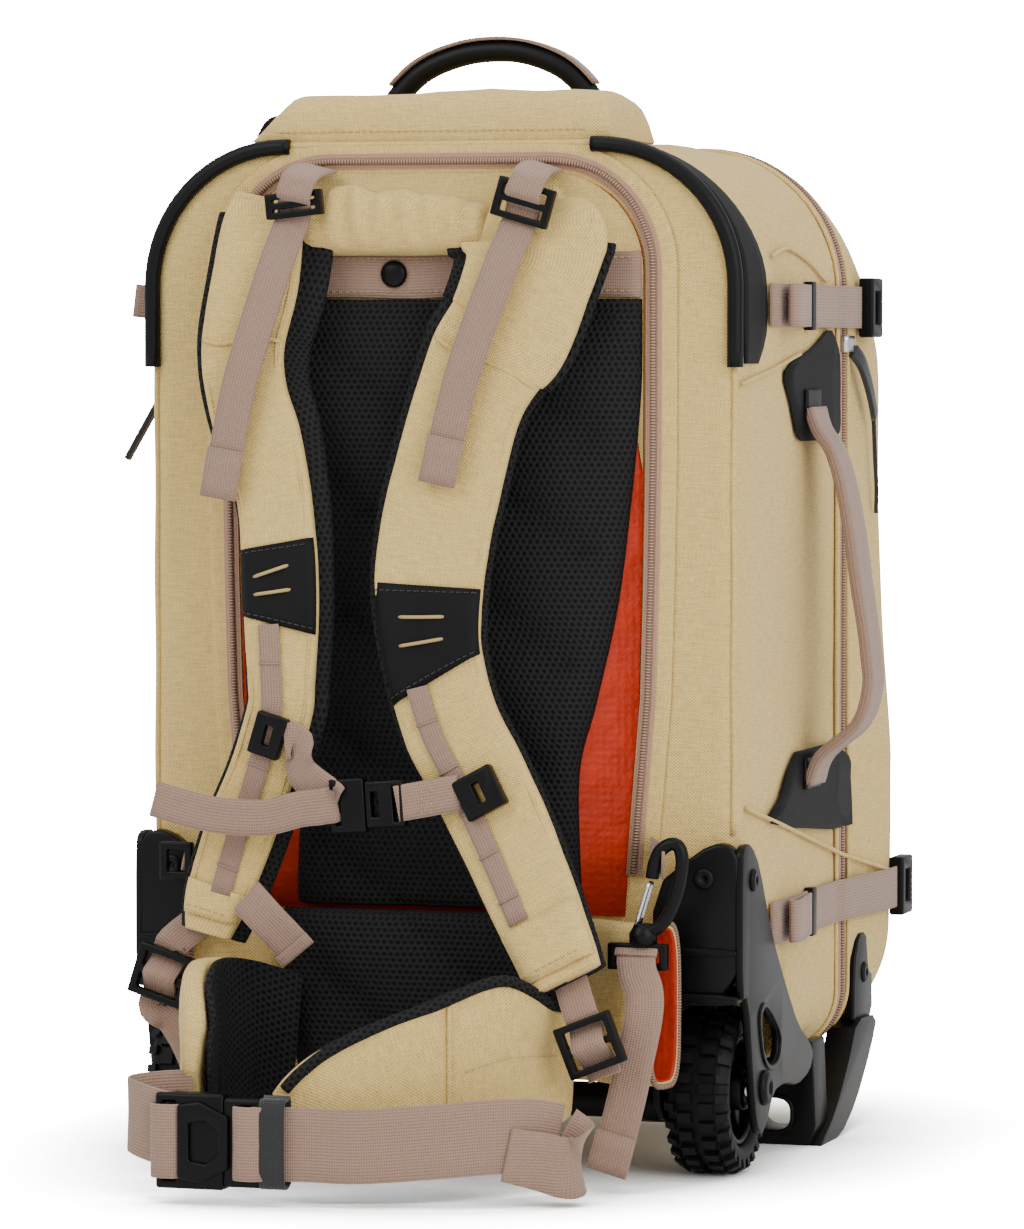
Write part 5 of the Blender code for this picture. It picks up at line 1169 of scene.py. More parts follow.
class Strap:
    """A shoulder strap's surface, read by height, place across and lift above the cloth face."""

    def __init__(self, rows, settings):
        table = smooth(rows, 8)
        self.points = [Vector((across * HALF, BACKING - out * settings.standoff, height * TOP))
                       for height, across, out, _ in table]
        self.widths = [width * settings.strap_width for *_, width in table]
        self.frames = frames_along(self.points)
        self.top = settings.lining_thickness + 0.0010 + settings.strap_thickness

    def at(self, height, across, lift=0.0):
        heights = [-point.z for point in self.points]
        i = min(max(1, int(np.searchsorted(heights, -height))), len(heights) - 1)
        share = (height - self.points[i - 1].z) / (self.points[i].z - self.points[i - 1].z)
        point = self.points[i - 1].lerp(self.points[i], share)
        side = self.frames[i - 1][1].lerp(self.frames[i][1], share).normalized()
        out = self.frames[i - 1][2].lerp(self.frames[i][2], share).normalized()
        width = self.widths[i - 1] + (self.widths[i] - self.widths[i - 1]) * share
        crown = 0.0012 * max(0.0, abs(across) * 2 / width - 0.8) * 12
        return point + side * across - out * (self.top + lift - min(crown, 0.004)), -out

    def half(self, height):
        """Half the strap's width at a height."""
        return float(np.interp(height, [point.z for point in reversed(self.points)],
                               list(reversed(self.widths)))) / 2

    def patch(self, name, kind, rows, thickness=0.0011, lift=0.0004, columns=9):
        """A patch on the strap's face: rows of height, low and high edge across, in metres."""
        grid, normals = [], []
        for height, low, high in rows:
            row = [self.at(height, low + (high - low) * k / (columns - 1), lift) for k in range(columns)]
            grid.append([place for place, _ in row])
            normals.append([out for _, out in row])
        return flat_shell(name, kind, grid, normals, thickness)


def build_strap(side_name, rows, settings, extra, drift):
    """A padded strap: dark mesh lining, cloth face, binding seams and end patches."""
    strap = Strap(rows, settings)
    lining = settings.lining_thickness
    count = len(strap.points)
    shares = [float(np.interp(i / count, (0, 0.25, 0.6, 1), (1.0, 0.6, 0.3, 0.2))) for i in range(count)]
    rows_of_strap = zip(strap.points, strap.frames, shares)
    points = [point + frame[1] * drift * share for point, frame, share in rows_of_strap]
    low = -0.25 if side_name == "right" else 0.3
    shares = [float(np.interp(i / count, (0, 0.25, 0.5, 1), (1.0, 0.6, 0.2, low))) for i in range(count)]
    wider = [width + 0.006 + extra * share for width, share in zip(strap.widths, shares)]
    first = 22 if side_name == "right" else 7
    points, wider = points[first:], wider[first:]
    inner = band(f"strap_mesh_{side_name}", "spacer_mesh", points, wider, lining + 0.0035, None,
                 SOFT_PROFILE, -(lining + 0.0035) / 2, 0.0006, 2.0, (f"strap_lining_{side_name}",))
    face = band(f"strap_{side_name}", "canvas", strap.points, strap.widths, settings.strap_thickness, None,
                STRAP_PROFILE, -(lining + 0.0010 + settings.strap_thickness / 2), 0.0015, 5.0,
                (f"shoulder_strap_{side_name}",))
    return strap


def build_strap_patch(strap, name, top, low):
    """The dark patch on a strap with its stitches and two cords; top and low are its edges' heights."""

    def level(place, share):
        """Height on the patch, whose upper and lower edges slant in their own ways."""
        near_z = top[0] + (low[0] - top[0]) * share
        far_z = top[1] + (low[1] - top[1]) * share
        return near_z + (far_z - near_z) * (place + 1) / 2

    grid, normals = [], []
    for share in np.linspace(0, 1, 10):
        row = []
        for place in np.linspace(-1, 1, 11):
            height = level(place, share)
            row.append(strap.at(height, place * strap.half(height) * 0.99, 0.0004))
        grid.append([place for place, _ in row])
        normals.append([out for _, out in row])
    flat_shell(f"strap_patch_{name}", "patch", grid, normals, 0.0012)
    for edge, row in (("top", 0), ("low", -1)):
        inner = grid[row + 1 if row == 0 else -2]
        line = [place.lerp(grid[row][i], 0.45) + normals[row][i] * 0.0015 for i, place in enumerate(inner)]
        stitches(f"strap_patch_{edge}_{name}", line, lambda place: Vector((0.1, -1, 0)),
                 kind="black_webbing")
    for k, (start, end) in enumerate(CORDS[name]):
        cord = []
        for t in np.linspace(0, 1, 9):
            place, share = start[0] + (end[0] - start[0]) * t, start[1] + (end[1] - start[1]) * t
            height = level(place, share)
            lift = 0.0022 + 0.0008 * math.sin(math.pi * t) - 0.0014 * (abs(2 * t - 1) ** 6)
            spot = strap.at(height, place * strap.half(height), lift)[0]
            cord.append(spot)
            if t in (0.0, 1.0):
                eye = [spot + Vector((0.0021 * math.cos(a), 0.0002, 0.0021 * math.sin(a)))
                       for a in np.linspace(0, math.tau, 13)[:-1]]
                tube(f"cord_eye_{name}_{k}_{int(t)}", "rubber", eye, 0.0007, 6, closed_path=True)
        tube(f"strap_cord_{name}_{k}", "thread", cord, 0.0010, 8)


def build_strap_trim(strap, name, seam):
    """A strap's cross seam, edge seams, daisy webbing with its bars and the folded end."""
    line = [strap.at(seam + 0.002 * math.sin(3 * share), share * strap.half(seam) * 0.94, 0.0006)[0]
            for share in np.linspace(-1, 1, 14)]
    tube(f"strap_seam_{name}", "canvas", line, 0.0013, 6)
    for edge, kind in ((-1, "near"), (1, "far")):
        heights = np.linspace(0.535, 0.150 if name == "left" else 0.135, 60)
        line = [strap.at(height, edge * (strap.half(height) - 0.0035), -0.0001)[0] for height in heights]
        tube(f"strap_edge_{name}_{kind}", "canvas", line, 0.0007, 5)
    heights = np.linspace(*((0.283, 0.152) if name == "right" else (0.314, 0.160)), 22)
    shifts = [-0.011 if name == "right" else -0.006 + 0.009 * k / 21 for k in range(22)]
    line = [strap.at(height, shift, 0.0016)[0] for height, shift in zip(heights, shifts)]
    band(f"daisy_webbing_{name}", "webbing", line, 0.0125, WEBBING_THICK, None)
    for k, (height, shift) in enumerate(zip(heights[3::4], shifts[3::4])):
        bar = [strap.at(height, shift + share * 0.0066, 0.0027)[0] for share in (-1, -0.3, 0.3, 1)]
        tube(f"daisy_bar_{name}_{k}", "webbing", bar, 0.0008, 6)
    span = np.linspace(*((0.150, 0.122) if name == "right" else (0.163, 0.146)), 6)
    rows = [(height, -strap.half(height) * 0.99, strap.half(height) * 0.99) for height in span]
    strap.patch(f"strap_end_{name}", "canvas", rows, 0.0018, 0.0006)
    line = [strap.at(span[-1] + 0.004, share * strap.half(span[-1]) * 0.9, 0.0026)[0]
            for share in np.linspace(-1, 1, 6)]
    stitches(f"strap_end_stitch_{name}", line, lambda place: Vector((0.1, -1, 0)))


def build_straps(settings):
    """Both shoulder straps with their trim, their buckles and the chest strap."""
    right = build_strap("right", RIGHT_STRAP, settings, 0.011, -0.0045)
    left = build_strap("left", LEFT_STRAP, settings, 0.020, 0.0065)
    for strap, name, top, low, seam in ((right, "right", (0.337, 0.335), (0.277, 0.294), 0.462),
                                        (left, "left", (0.357, 0.360), (0.319, 0.308), 0.4735)):
        build_strap_patch(strap, name, top, low)
        build_strap_trim(strap, name, seam)
    build_button()
    build_lifter("left", -0.070, -0.0765, 0.172)
    build_lifter("right", 0.066, 0.0600, 0.165)
    build_chest(left, right)


def turned_piece(name, kind, centre, profile, axis="Y", sides=24, replaced=(), body=ROOT):
    """A turned piece: rows of radius and place along the axis."""
    rings = []
    for radius, along in profile:
        ring = []
        for a in angles(sides):
            first, second = radius * math.cos(a), radius * math.sin(a)
            offset = {"Y": (first, along, second), "X": (along, first, second),
                      "Z": (first, second, along)}[axis]
            ring.append(Vector(centre) + Vector(offset))
        rings.append(ring)
    return loft(name, rings, kind, replaced, body)


def build_button():
    """The black snap button on the webbing band."""
    turned_piece("snap_button", "plastic", (-0.026, -0.0052, 0.5135),
                 [(0.0072, 0.0012), (0.0078, 0.0), (0.0078, -0.0012), (0.0066, -0.0026), (0.0030, -0.0032),
                  (0.0006, -0.0033)])


def beside(centre, swing, places):
    """Places near a buckle: rows of distance along its webbing and distance towards the pack."""
    return [centre + swing * up + Vector((0, out, 0)) for up, out in places]


def threaded(centre, along):
    """Points of webbing that passes behind a ladder's outer bars and over its middle bar."""
    places = [(0.0200, 0.0035), (0.0130, 0.0052), (0.0065, 0.0010), (0.0, -0.0056), (-0.0065, 0.0010),
              (-0.0130, 0.0052), (-0.0195, 0.0045)]
    return beside(centre, along.normalized(), places)


def ladder(name, centre, across, along, height, replaced, bar=0.0045, thick=0.0062):
    """A ladder buckle with two windows."""
    width = 0.034
    inner = width - 2 * bar
    gap = (height - 3 * bar * 0.9) / 2
    windows = [(0, gap / 2 + bar * 0.45, inner, gap), (0, -gap / 2 - bar * 0.45, inner, gap)]
    return hard_buckle(name, placing(centre, across, along), width, height, thick, windows, replaced)


def build_lifter(side_name, start, buckle, length):
    """A load lifter: webbing from the top, its ladder buckle, the fold over the bar and the loose tail."""
    lean = 0.24 if side_name == "left" else 0.29
    along = Vector((lean, 0, 1))
    across = Vector((1, 0, -lean)) if side_name == "right" else Vector((1, 0, 0.10))
    centre = Vector((buckle, -0.0330, 0.5530))
    ladder(f"lifter_ladder_{side_name}", centre, across, along, 0.0225 if side_name == "right" else 0.0145,
           (f"lifter_buckle_{side_name}",), bar=0.0040)
    swing = along.normalized()
    fall = -swing * length
    hint = Vector((1, 0, -lean))
    points = [Vector((start, -0.0050, 0.5745)), Vector((start - 0.002, -0.0190, 0.5730))]
    points += beside(centre, swing, ((0.0160, -0.0010), (0.0105, -0.0045), (0.0050, -0.0055),
                                     (0.0010, -0.0010), (-0.0035, 0.0030)))
    band(f"lifter_strap_{side_name}", "webbing", smooth_path(points, 5), NARROW_WEBBING, WEBBING_THICK,
         hint, replaced=(f"lifter_webbing_{side_name}",))
    points = beside(centre, swing, ((-0.004, 0.0035), (-0.0095, 0.0030), (-0.018, -0.0010)))
    points += [centre + fall * 0.25 + Vector((0, -0.0110, 0)),
               centre + fall * 0.62 + Vector((-0.002, -0.0195, 0)),
               centre + fall + Vector((0.002, -0.0225, 0))]
    path = smooth_path(points, 6)
    band(f"lifter_tail_{side_name}", "webbing", path, NARROW_WEBBING, 0.0022, hint, crumple=0.0005)
    hem = [point + Vector((0, -0.0023, 0)) for point in path[-4:]]
    band(f"lifter_hem_{side_name}", "webbing", hem, 0.0212, 0.0022, hint)


def build_chest(left, right):
    """The chest strap: sliders, webbing, the fastened buckle and the tail folded back."""
    places = {}
    for name, strap, height in (("left", left, 0.252), ("right", right, 0.220)):
        place = strap.at(height, 0.0, 0.0045)[0]
        places[name] = place
        tangent = (strap.at(height + 0.01, 0)[0] - strap.at(height - 0.01, 0)[0]).normalized()
        wide = 0.0185 if name == "left" else 0.0250
        hard_buckle(f"slider_{name}", placing(place, tangent.cross(ALONG_Y), tangent), wide, 0.0245, 0.0075,
                    [(0.0, 0.0, 0.0045, 0.0120)], (f"chest_slider_{name}",))
    buckle = Vector((-0.0205, places["right"].y - 0.004, 0.214))
    tilt = Matrix.Translation(buckle) @ Matrix.Rotation(math.radians(-4), 4, "Y")
    hard_buckle("chest_socket", tilt @ Matrix.Translation((-0.0115, 0, 0)), 0.0205, 0.031, 0.0092,
                [(-0.006, 0.0, 0.0035, 0.0215)], ("chest_buckle_socket",))
    hard_buckle("chest_tongue", tilt @ Matrix.Translation((0.0105, 0, 0)), 0.0225, 0.0268, 0.0084,
                [(0.0065, 0.0, 0.0036, 0.0205), (-0.006, 0.0, 0.0045, 0.014)], ("chest_buckle_tongue",))
    start = places["left"] + Vector((0.010, -0.001, -0.003))
    turn = buckle + Vector((-0.0306, 0, 0.002))
    path = [start, start + Vector((0.008, 0, -0.001)), start.lerp(turn, 0.55)]
    steps = [(0.012, -0.004, 0), (0.006, -0.0075, -0.003), (-0.008, -0.0070, -0.005),
             (-0.030, -0.0110, -0.010), (-0.060, -0.016, -0.008), (-0.092, -0.018, 0.000)]
    path += [turn + Vector(step) for step in steps]
    band("chest_strap_left", "webbing", smooth_path(path, 6), NARROW_WEBBING, WEBBING_THICK,
         Vector((0.1, 0, 1)), replaced=("chest_webbing_left",))
    start = buckle + Vector((0.0175, -0.003, 0.001))
    end = places["right"] - Vector((0.012, 0, 0))
    for share in (0.42, 0.58):
        spot = start.lerp(end, share)
        rows = [spot + Vector((0.002 * math.sin(9 * up), -0.0024, up * 0.0095))
                for up in np.linspace(-1, 1, 7)]
        stitches(f"chest_stitch_{'near' if share < 0.5 else 'far'}", rows,
                 lambda place: Vector((0.05, -1, 0)))
    path = smooth_path([start, start.lerp(end, 0.5) + Vector((0, -0.001, 0)), end], 6)
    band("chest_strap_right", "webbing", path, NARROW_WEBBING, 0.0026, UP,
         replaced=("chest_webbing_right",))


# The hip belt and the lower straps

# Rows of a wing from the pack forwards: shares of place across, reach, lower edge, upper edge and thickness
RIGHT_BELT = [
    (0.390, 0.252, 0.36, 0.90, 0.45), (0.500, 0.320, 0.30, 0.90, 0.95), (0.480, 0.430, 0.24, 0.92, 1.00),
    (0.380, 0.620, 0.14, 1.08, 1.00), (0.200, 0.800, 0.06, 0.95, 1.00), (-0.020, 0.885, 0.01, 0.78, 0.95),
    (-0.150, 0.915, 0.02, 0.62, 0.80), (-0.215, 0.925, 0.06, 0.50, 0.45),
]
LEFT_BELT = [
    (-0.400, 0.262, 0.36, 1.02, 0.50), (-0.540, 0.320, 0.32, 1.10, 0.95), (-0.600, 0.470, 0.26, 1.14, 1.00),
    (-0.585, 0.620, 0.20, 1.10, 1.00), (-0.550, 0.730, 0.18, 0.86, 0.90), (-0.530, 0.800, 0.22, 0.62, 0.45),
]


def build_wing(name, rows, replaced, seed=0.0, share=0.62, skip=0):
    """A padded wing of the hip belt with a mesh lining on its inner side."""
    points, widths, deeps = [], [], []
    for across, reach, low, high, thickness in smooth(rows, 8):
        points.append(Vector((across * HALF, -reach * 0.170, 0.012 + 0.100 * (low + high) / 2)))
        widths.append(0.100 * (high - low))
        deeps.append(0.013 * thickness)
    sign = 1.0 if frames_along(points, UP)[len(points) // 2][2].y < 0 else -1.0
    front = [deep * share for deep in deeps]
    back = [deep * 0.5 for deep in deeps]
    frames = frames_along(points, UP)
    shifted = [point + frame[2] * sign * (0.0022 + 0.0075 * (share - 0.62))
               for point, frame in zip(points, frames)]
    face = band(f"{name}_face", "canvas", shifted[skip:], widths[skip:], front[skip:], UP, STRAP_PROFILE,
                0.0, 0.0013, seed, replaced)
    shifted = [point - frame[2] * sign * 0.0036 for point, frame in zip(points, frames)]
    band(f"{name}_mesh", "spacer_mesh", shifted, [width + 0.001 for width in widths], back, UP,
         SOFT_PROFILE, 0.0, 0.0008, seed + 3)
    return points, widths, frames, sign


def build_belt(settings):
    """The hip belt: both wings, the fastened buckle, the webbing loop and the keeper."""
    points, widths, frames, sign = build_wing("wing_right", RIGHT_BELT, ("hip_wing_right",), 3.0)
    trim = [point + Vector((0, 0, width / 2 + 0.0012)) + frame[2] * sign * 0.0052 for point, width, frame in
            zip(points, widths, frames)][4:]
    tube("wing_trim", "spacer_mesh", trim, 0.0034, 8)
    seam = [points[30] + frames[30][2] * sign * 0.0072 + UP * widths[30] * share
            for share in np.linspace(-0.40, 0.47, 12)]
    tube("wing_seam", "canvas", seam, 0.0012, 6)
    line = [points[i] + frames[i][2] * sign * 0.0082 + UP * (0.0040 + 0.0002 * (30 - i))
            for i in range(16, 30)]
    stitches("wing_stitch", line, lambda place: Vector((0.2, -1, 0)))
    build_wing("wing_left", LEFT_BELT, ("hip_wing_left",), 8.0, 1.2, 5)
    place, middle = -0.176, 0.035
    body = Matrix.Translation((-0.0865, place, middle))
    hard_buckle("hip_socket", body, 0.040, 0.053, 0.0115, [(-0.0120, 0.0, 0.0065, 0.043)],
                ("hip_buckle_socket",))
    hard_buckle("hip_tongue", Matrix.Translation((-0.0555, place, middle)), 0.0225, 0.049, 0.0115,
                [(0.0035, 0.0, 0.0065, 0.040)], ("hip_buckle_tongue",))
    wedge = [(-0.0925, -0.0205), (-0.0925, 0.0205), (-0.0800, 0.0225), (-0.0630, 0.0145),
             (-0.0630, -0.0145), (-0.0800, -0.0225)]
    made = loft("hip_wedge", [[Vector((x, y, middle + z)) for x, z in wedge]
                              for y in (place - 0.0092, place - 0.0040)], "plastic", box=True)
    hole = [(-0.0860, -0.0105), (-0.0860, 0.0105), (-0.0760, 0.0120), (-0.0690, 0.0060), (-0.0690, -0.0060),
            (-0.0760, -0.0120)]
    cut_out(made, loft("cut", [[Vector((x, y, middle + z)) for x, z in hole]
                               for y in (place - 0.02, place + 0.02)], "plastic", box=True))
    bevelled(made, 0.0014)
    wide = settings.belt_webbing
    path = smooth_path([(-0.0575, place + 0.0015, middle), (-0.046, place - 0.0065, middle),
                        (-0.038, place - 0.003, middle), (-0.020, place, middle),
                        (0.010, place + 0.001, middle), (0.050, place + 0.010, middle + 0.003),
                        (0.078, place + 0.024, middle + 0.005), (0.096, place + 0.041, middle + 0.004),
                        (0.108, place + 0.052, middle + 0.001)], 6)
    band("belt_webbing", "webbing", path, wide, BELT_THICK, UP, crumple=0.0006, seed=1.0,
         replaced=("hip_webbing",))
    tail = smooth_path([(0.108, -0.1235, 0.036), (0.116, -0.120, 0.030), (0.121, -0.126, 0.024),
                        (0.116, -0.133, 0.022), (0.100, -0.1375, 0.026), (0.086, -0.148, 0.030)], 6)
    band("belt_tail", "webbing", tail, [wide * share for share in np.linspace(0.98, 0.72, len(tail))],
         BELT_THICK, UP, crumple=0.0006, seed=2.0)
    keeper = [Vector((-0.038, place + out, middle + up))
              for up, out in ((-0.0215, 0.0045), (-0.0240, 0.0), (-0.0215, -0.0062), (0.0, -0.0072),
                              (0.0215, -0.0062), (0.0240, 0.0), (0.0215, 0.0045))]
    band("belt_keeper", "black_webbing", smooth_path(keeper + keeper[:1], 4), 0.0150, 0.0014, ALONG_X)
    for name, x in (("near", -0.1000), ("far", -0.0520)):
        wrap = [(x - 0.0075, 0.0035), (x - 0.0085, -0.0050), (x - 0.003, -0.0088), (x + 0.004, -0.0086),
                (x + 0.0075, -0.0050), (x + 0.0070, 0.0030)]
        band(f"belt_wrap_{name}", "webbing", smooth_path([(a, place + b, middle) for a, b in wrap], 5),
             wide, BELT_THICK, UP, crumple=0.0004)
    loop = smooth_path([(-0.0965, -0.1475, 0.050), (-0.112, -0.149, 0.049), (-0.125, -0.157, 0.048),
                        (-0.127, -0.167, 0.047), (-0.118, -0.1745, 0.045), (-0.105, -0.1775, 0.042),
                        (-0.099, -0.1735, 0.041)], 6)
    band("belt_loop", "webbing", loop, wide, BELT_THICK, UP, crumple=0.0006, seed=5.0,
         replaced=("hip_loop",))


def build_lower(settings):
    """The ladder buckles, webbing and loose tails below the shoulder straps."""
    tails = {"right": ((0.1165, -0.0900, 0.0850), (-0.40, 0, 1), RIGHT_STRAP, [], (1, 0, 0),
                       [(0.1325, -0.0470, 0.1312), (0.1325, -0.0500, 0.1310), (0.1328, -0.0550, 0.1300),
                        (0.1350, -0.0590, 0.1220), (0.1400, -0.0640, 0.1120), (0.1410, -0.0700, 0.0980),
                        (0.1370, -0.0735, 0.0740), (0.1320, -0.0745, 0.0500), (0.1215, -0.0740, 0.0120)]),
             "left": ((-0.1495, -0.0560, 0.1125), (0.32, 0, 1.0), LEFT_STRAP,
                      [(-0.1460, -0.0520, 0.0880), (-0.1390, -0.0500, 0.0760), (-0.1335, -0.0450, 0.0600),
                       (-0.1295, -0.0400, 0.0450)], (1, 0, 1),
                      [(-0.0930, -0.0700, 0.1605), (-0.0800, -0.0745, 0.1490), (-0.0690, -0.0735, 0.1380),
                       (-0.0610, -0.0705, 0.1285)]),}
    for side_name, (place, direction, rows, below, hint, tail) in tails.items():
        centre, along = Vector(place), Vector(direction)
        across = Vector((along.z, 0, -along.x)).normalized()
        ladder(f"lower_ladder_{side_name}", centre, across, along, 0.030, (f"lower_buckle_{side_name}",),
               thick=0.007)
        strap = Strap(rows, settings)
        tucked = [strap.points[i] + strap.frames[i][2] * 0.0016 for i in (-17, -9)]
        path = smooth_path(tucked + threaded(centre, along) + [Vector(point) for point in below], 5)
        band(f"lower_strap_{side_name}", "webbing", path, 0.0200, WEBBING_THICK, across,
             replaced=(f"lower_webbing_{side_name}",))
        path = smooth_path(tail, 5)
        band(f"loose_tail_{side_name}", "webbing", path, 0.0220, BELT_THICK, Vector(hint), crumple=0.0008,
             seed=4.0, replaced=(f"lower_tail_{side_name}",))
        band(f"loose_hem_{side_name}", "webbing", [point + Vector((0, -0.0020, 0)) for point in path[-4:]],
             0.0236, 0.0018, Vector(hint))


# The snap hook and the anchor ring


def build_hook():
    """The snap hook with its swivel eye, wire gate and webbing loop."""
    y, across, foot = -0.050, 0.1335, 0.146
    ring_wide, ring_tall, ring_radius = 0.024, 0.047, 0.0038
    rows = [(0.30, 0.62), (0.36, 0.80), (0.50, 0.95), (0.74, 1.03), (0.94, 1.0), (1.02, 0.86), (1.00, 0.70),
            (0.88, 0.42), (0.66, 0.16), (0.40, 0.02), (0.16, -0.03)]
    path = smooth_path([(across + a * ring_wide, y, foot + h * ring_tall) for a, h in rows], 4)
    tube("hook_ring", "plastic", path, ring_radius, 14, replaced=("snap_hook",))
    turned_piece("hook_collar", "plastic", (across + 0.002, y, foot),
                 [(0.0048, -0.0090), (0.0078, -0.0075), (0.0080, -0.0020), (0.0062, 0.0010),
                  (0.0050, 0.0036)], "Z")
    hard_buckle("hook_eye", Matrix.Translation((across - 0.001, y, foot - 0.0150)), 0.0344, 0.0150, 0.0064,
                [(0, 0, 0.026, 0.0072)], ("hook_swivel",))
    foot_place = Vector((across - 0.0010, y, foot + 0.0032))
    tip = Vector((across + 0.0062, y, foot + 0.0264))
    half = Vector((0, 0.0040, 0))
    corner = foot_place.lerp(tip, 0.88)
    path = smooth_path([foot_place - half, corner - half, tip - half * 0.4, tip + half * 0.4, corner + half,
                        foot_place + half], 4)
    tube("gate_wire", "steel", path, 0.0011, 8, hint=(tip - foot_place).cross(half),
         replaced=("hook_gate",), body="hook_gate_body")
    loop = smooth_path([(0.1300, -0.0045, 0.1840), (0.1300, -0.0120, 0.1860), (0.1350, -0.0300, 0.1880),
                        (0.1440, -0.0440, 0.1860), (0.1475, -0.0520, 0.1815)], 6)
    band("hook_webbing", "webbing", loop, 0.017, 0.0018, UP, replaced=("hook_loop",))
    strip = smooth_path([(0.1325, -0.0450, 0.1345), (0.1325, -0.0515, 0.1360), (0.1325, -0.0555, 0.1320)],
                        4)
    band("hook_fold", "webbing", strip, 0.0245, 0.0018, ALONG_X)
    rounded_block("anchor_ring", (0.020, 0.0050, 0.022), 0.0012,
                  Matrix.Translation((-0.150, -0.0300, 0.176)), "plastic", (), [(0, 0, 0.0105, 0.0125)])
    strip = smooth_path([(-0.128, -0.0060, 0.168), (-0.140, -0.0180, 0.172), (-0.146, -0.0300, 0.176)], 5)
    band("anchor_webbing", "webbing", strip, 0.0105, WEBBING_THICK, UP)


# Wheels and chassis


WHEEL_OUT = 0.156
AXLE_DEPTH = 0.030
WHEEL_HEIGHT = 0.048
BEAM_HEIGHT = 0.0395


def spun(name, centre, profile, steps, kind, replaced, body):
    """A ring turned round the wheel's axle: rows of place along X and radius."""
    rings = [[centre + Vector((x, r * math.cos(a), r * math.sin(a))) for x, r in profile]
             for a in angles(steps)]
    return loft(name, rings, kind, replaced, body, closed_path=True)


def build_tread(centre, half, base, high, count, side_name):
    """Two staggered rows of knobs round the tyre and a row of shoulder knobs on each side."""
    verts, faces, coords = [], [], []
    for k in range(count):
        for x0, x1, turn, wide in ((-0.62, -0.08, 0.0, 0.62), (0.08, 0.62, 0.5, 0.62),
                                   (-1.0, -0.66, 0.5, 0.50), (0.66, 1.0, 0.0, 0.50)):
            middle = math.tau * (k + turn) / count
            reach = math.tau / count * wide / 2
            corners = []
            for level in (0, 1):
                shrink = 0.80 if level else 1.0
                for x, a in ((x0, -1), (x1, -1), (x1, 1), (x0, 1)):
                    x_mid = (x0 + x1) / 2
                    place = half * (x_mid + (x - x_mid) * shrink)
                    edge = abs(x) > 0.9
                    drop = (0.0034 if level else 0.0052) if edge else 0.0
                    radius = (high if level else base - 0.0016) - drop
                    if edge:
                        place = math.copysign(half * (1.03 if level else 0.985), x)
                    angle = middle + a * reach * shrink
                    corners.append(centre + Vector((place, radius * math.cos(angle),
                                                    radius * math.sin(angle))))
            start = len(verts)
            verts += corners
            for quad in ((0, 1, 5, 4), (1, 2, 6, 5), (2, 3, 7, 6), (3, 0, 4, 7), (4, 5, 6, 7),
                         (3, 2, 1, 0)):
                faces.append(tuple(start + i for i in quad))
                coords += [(0, 0), (0, 1), (1, 1), (1, 0)]
    mesh_piece(f"tread_{side_name}", verts, faces, coords, "tyre", (), f"wheel_{side_name}",
               smooth_faces=False)


def build_wheel(side, side_name, settings):
    """A knobbly tyre with its spoked hub; both turn on the wheel's axle."""
    body = f"wheel_{side_name}"
    centre = Vector((side * WHEEL_OUT, AXLE_DEPTH, WHEEL_HEIGHT))
    half, rim, base, high = 0.018, 0.0315, 0.0450, 0.0480
    profile = [(-half * 0.70, rim + 0.0004), (half * 0.70, rim + 0.0004), (half * 0.94, rim + 0.0020),
               (half, rim + 0.0060), (half * 0.99, base - 0.006), (half * 0.90, base - 0.0022),
               (half * 0.70, base - 0.0004), (half * 0.3, base), (-half * 0.3, base),
               (-half * 0.70, base - 0.0004), (-half * 0.90, base - 0.0022), (-half * 0.99, base - 0.006),
               (-half, rim + 0.0060), (-half * 0.94, rim + 0.0020)]
    spun(f"tyre_body_{side_name}", centre, profile, 72, "tyre", (f"tyre_{side_name}",), body)
    build_tread(centre, half, base, high, settings.knobs, side_name)
    hub = [(0.0308, -0.0150), (0.0312, -0.0142), (0.0312, 0.0142), (0.0308, 0.0150), (0.0288, 0.0150),
           (0.0280, 0.0120), (0.0280, -0.0120), (0.0288, -0.0150)]
    spun(f"rim_{side_name}", centre, [(x, r) for r, x in hub], 48, "plastic", (f"hub_{side_name}",), body)
    boss = [(0.0108, -0.018), (0.0118, -0.016), (0.0118, 0.016), (0.0108, 0.018), (0.0043, 0.018),
            (0.0043, -0.018)]
    spun(f"boss_{side_name}", centre, [(x, r) for r, x in boss], 32, "plastic", (), body)
    for k in range(5):
        turn = Matrix.Translation(centre) @ Matrix.Rotation(math.tau * k / 5, 4, "X")
        turn = turn @ Matrix.Translation((0, 0, 0.0198))
        rounded_block(f"spoke_{side_name}_{k}", (0.020, 0.0082, 0.0180), 0.0012, turn, body=body)


# Outline and window of the housing's side plate: depth and height
HOUSING_OUTLINE = [(-0.012, 0.104), (-0.012, 0.184), (-0.007, 0.191), (0.008, 0.191), (0.026, 0.178),
                   (0.053, 0.137), (0.086, 0.103), (0.116, 0.076), (0.142, 0.064), (0.151, 0.056),
                   (0.142, 0.046), (0.114, 0.041), (0.084, 0.046), (0.058, 0.044), (0.043, 0.027),
                   (0.031, 0.022), (0.020, 0.029), (0.012, 0.054), (0.001, 0.104)]
HOUSING_WINDOW = [(0.026, 0.090), (0.038, 0.097), (0.072, 0.076), (0.066, 0.062), (0.048, 0.060),
                  (0.034, 0.068)]


def plate(name, outline, low, high, bevel, replaced=(), cuts=()):
    """A plate in the YZ plane between two X places, with bevelled edges and windows."""
    def slab(points, start, end):
        return [[Vector((x, y, z)) for y, z in points] for x in (start, end)]

    made = loft(name, slab(outline, low, high), "plastic", replaced, box=True)
    for cut in cuts:
        cut_out(made, loft("cut", slab(cut, low - 0.02, high + 0.02), "plastic", box=True))
    return bevelled(made, bevel)


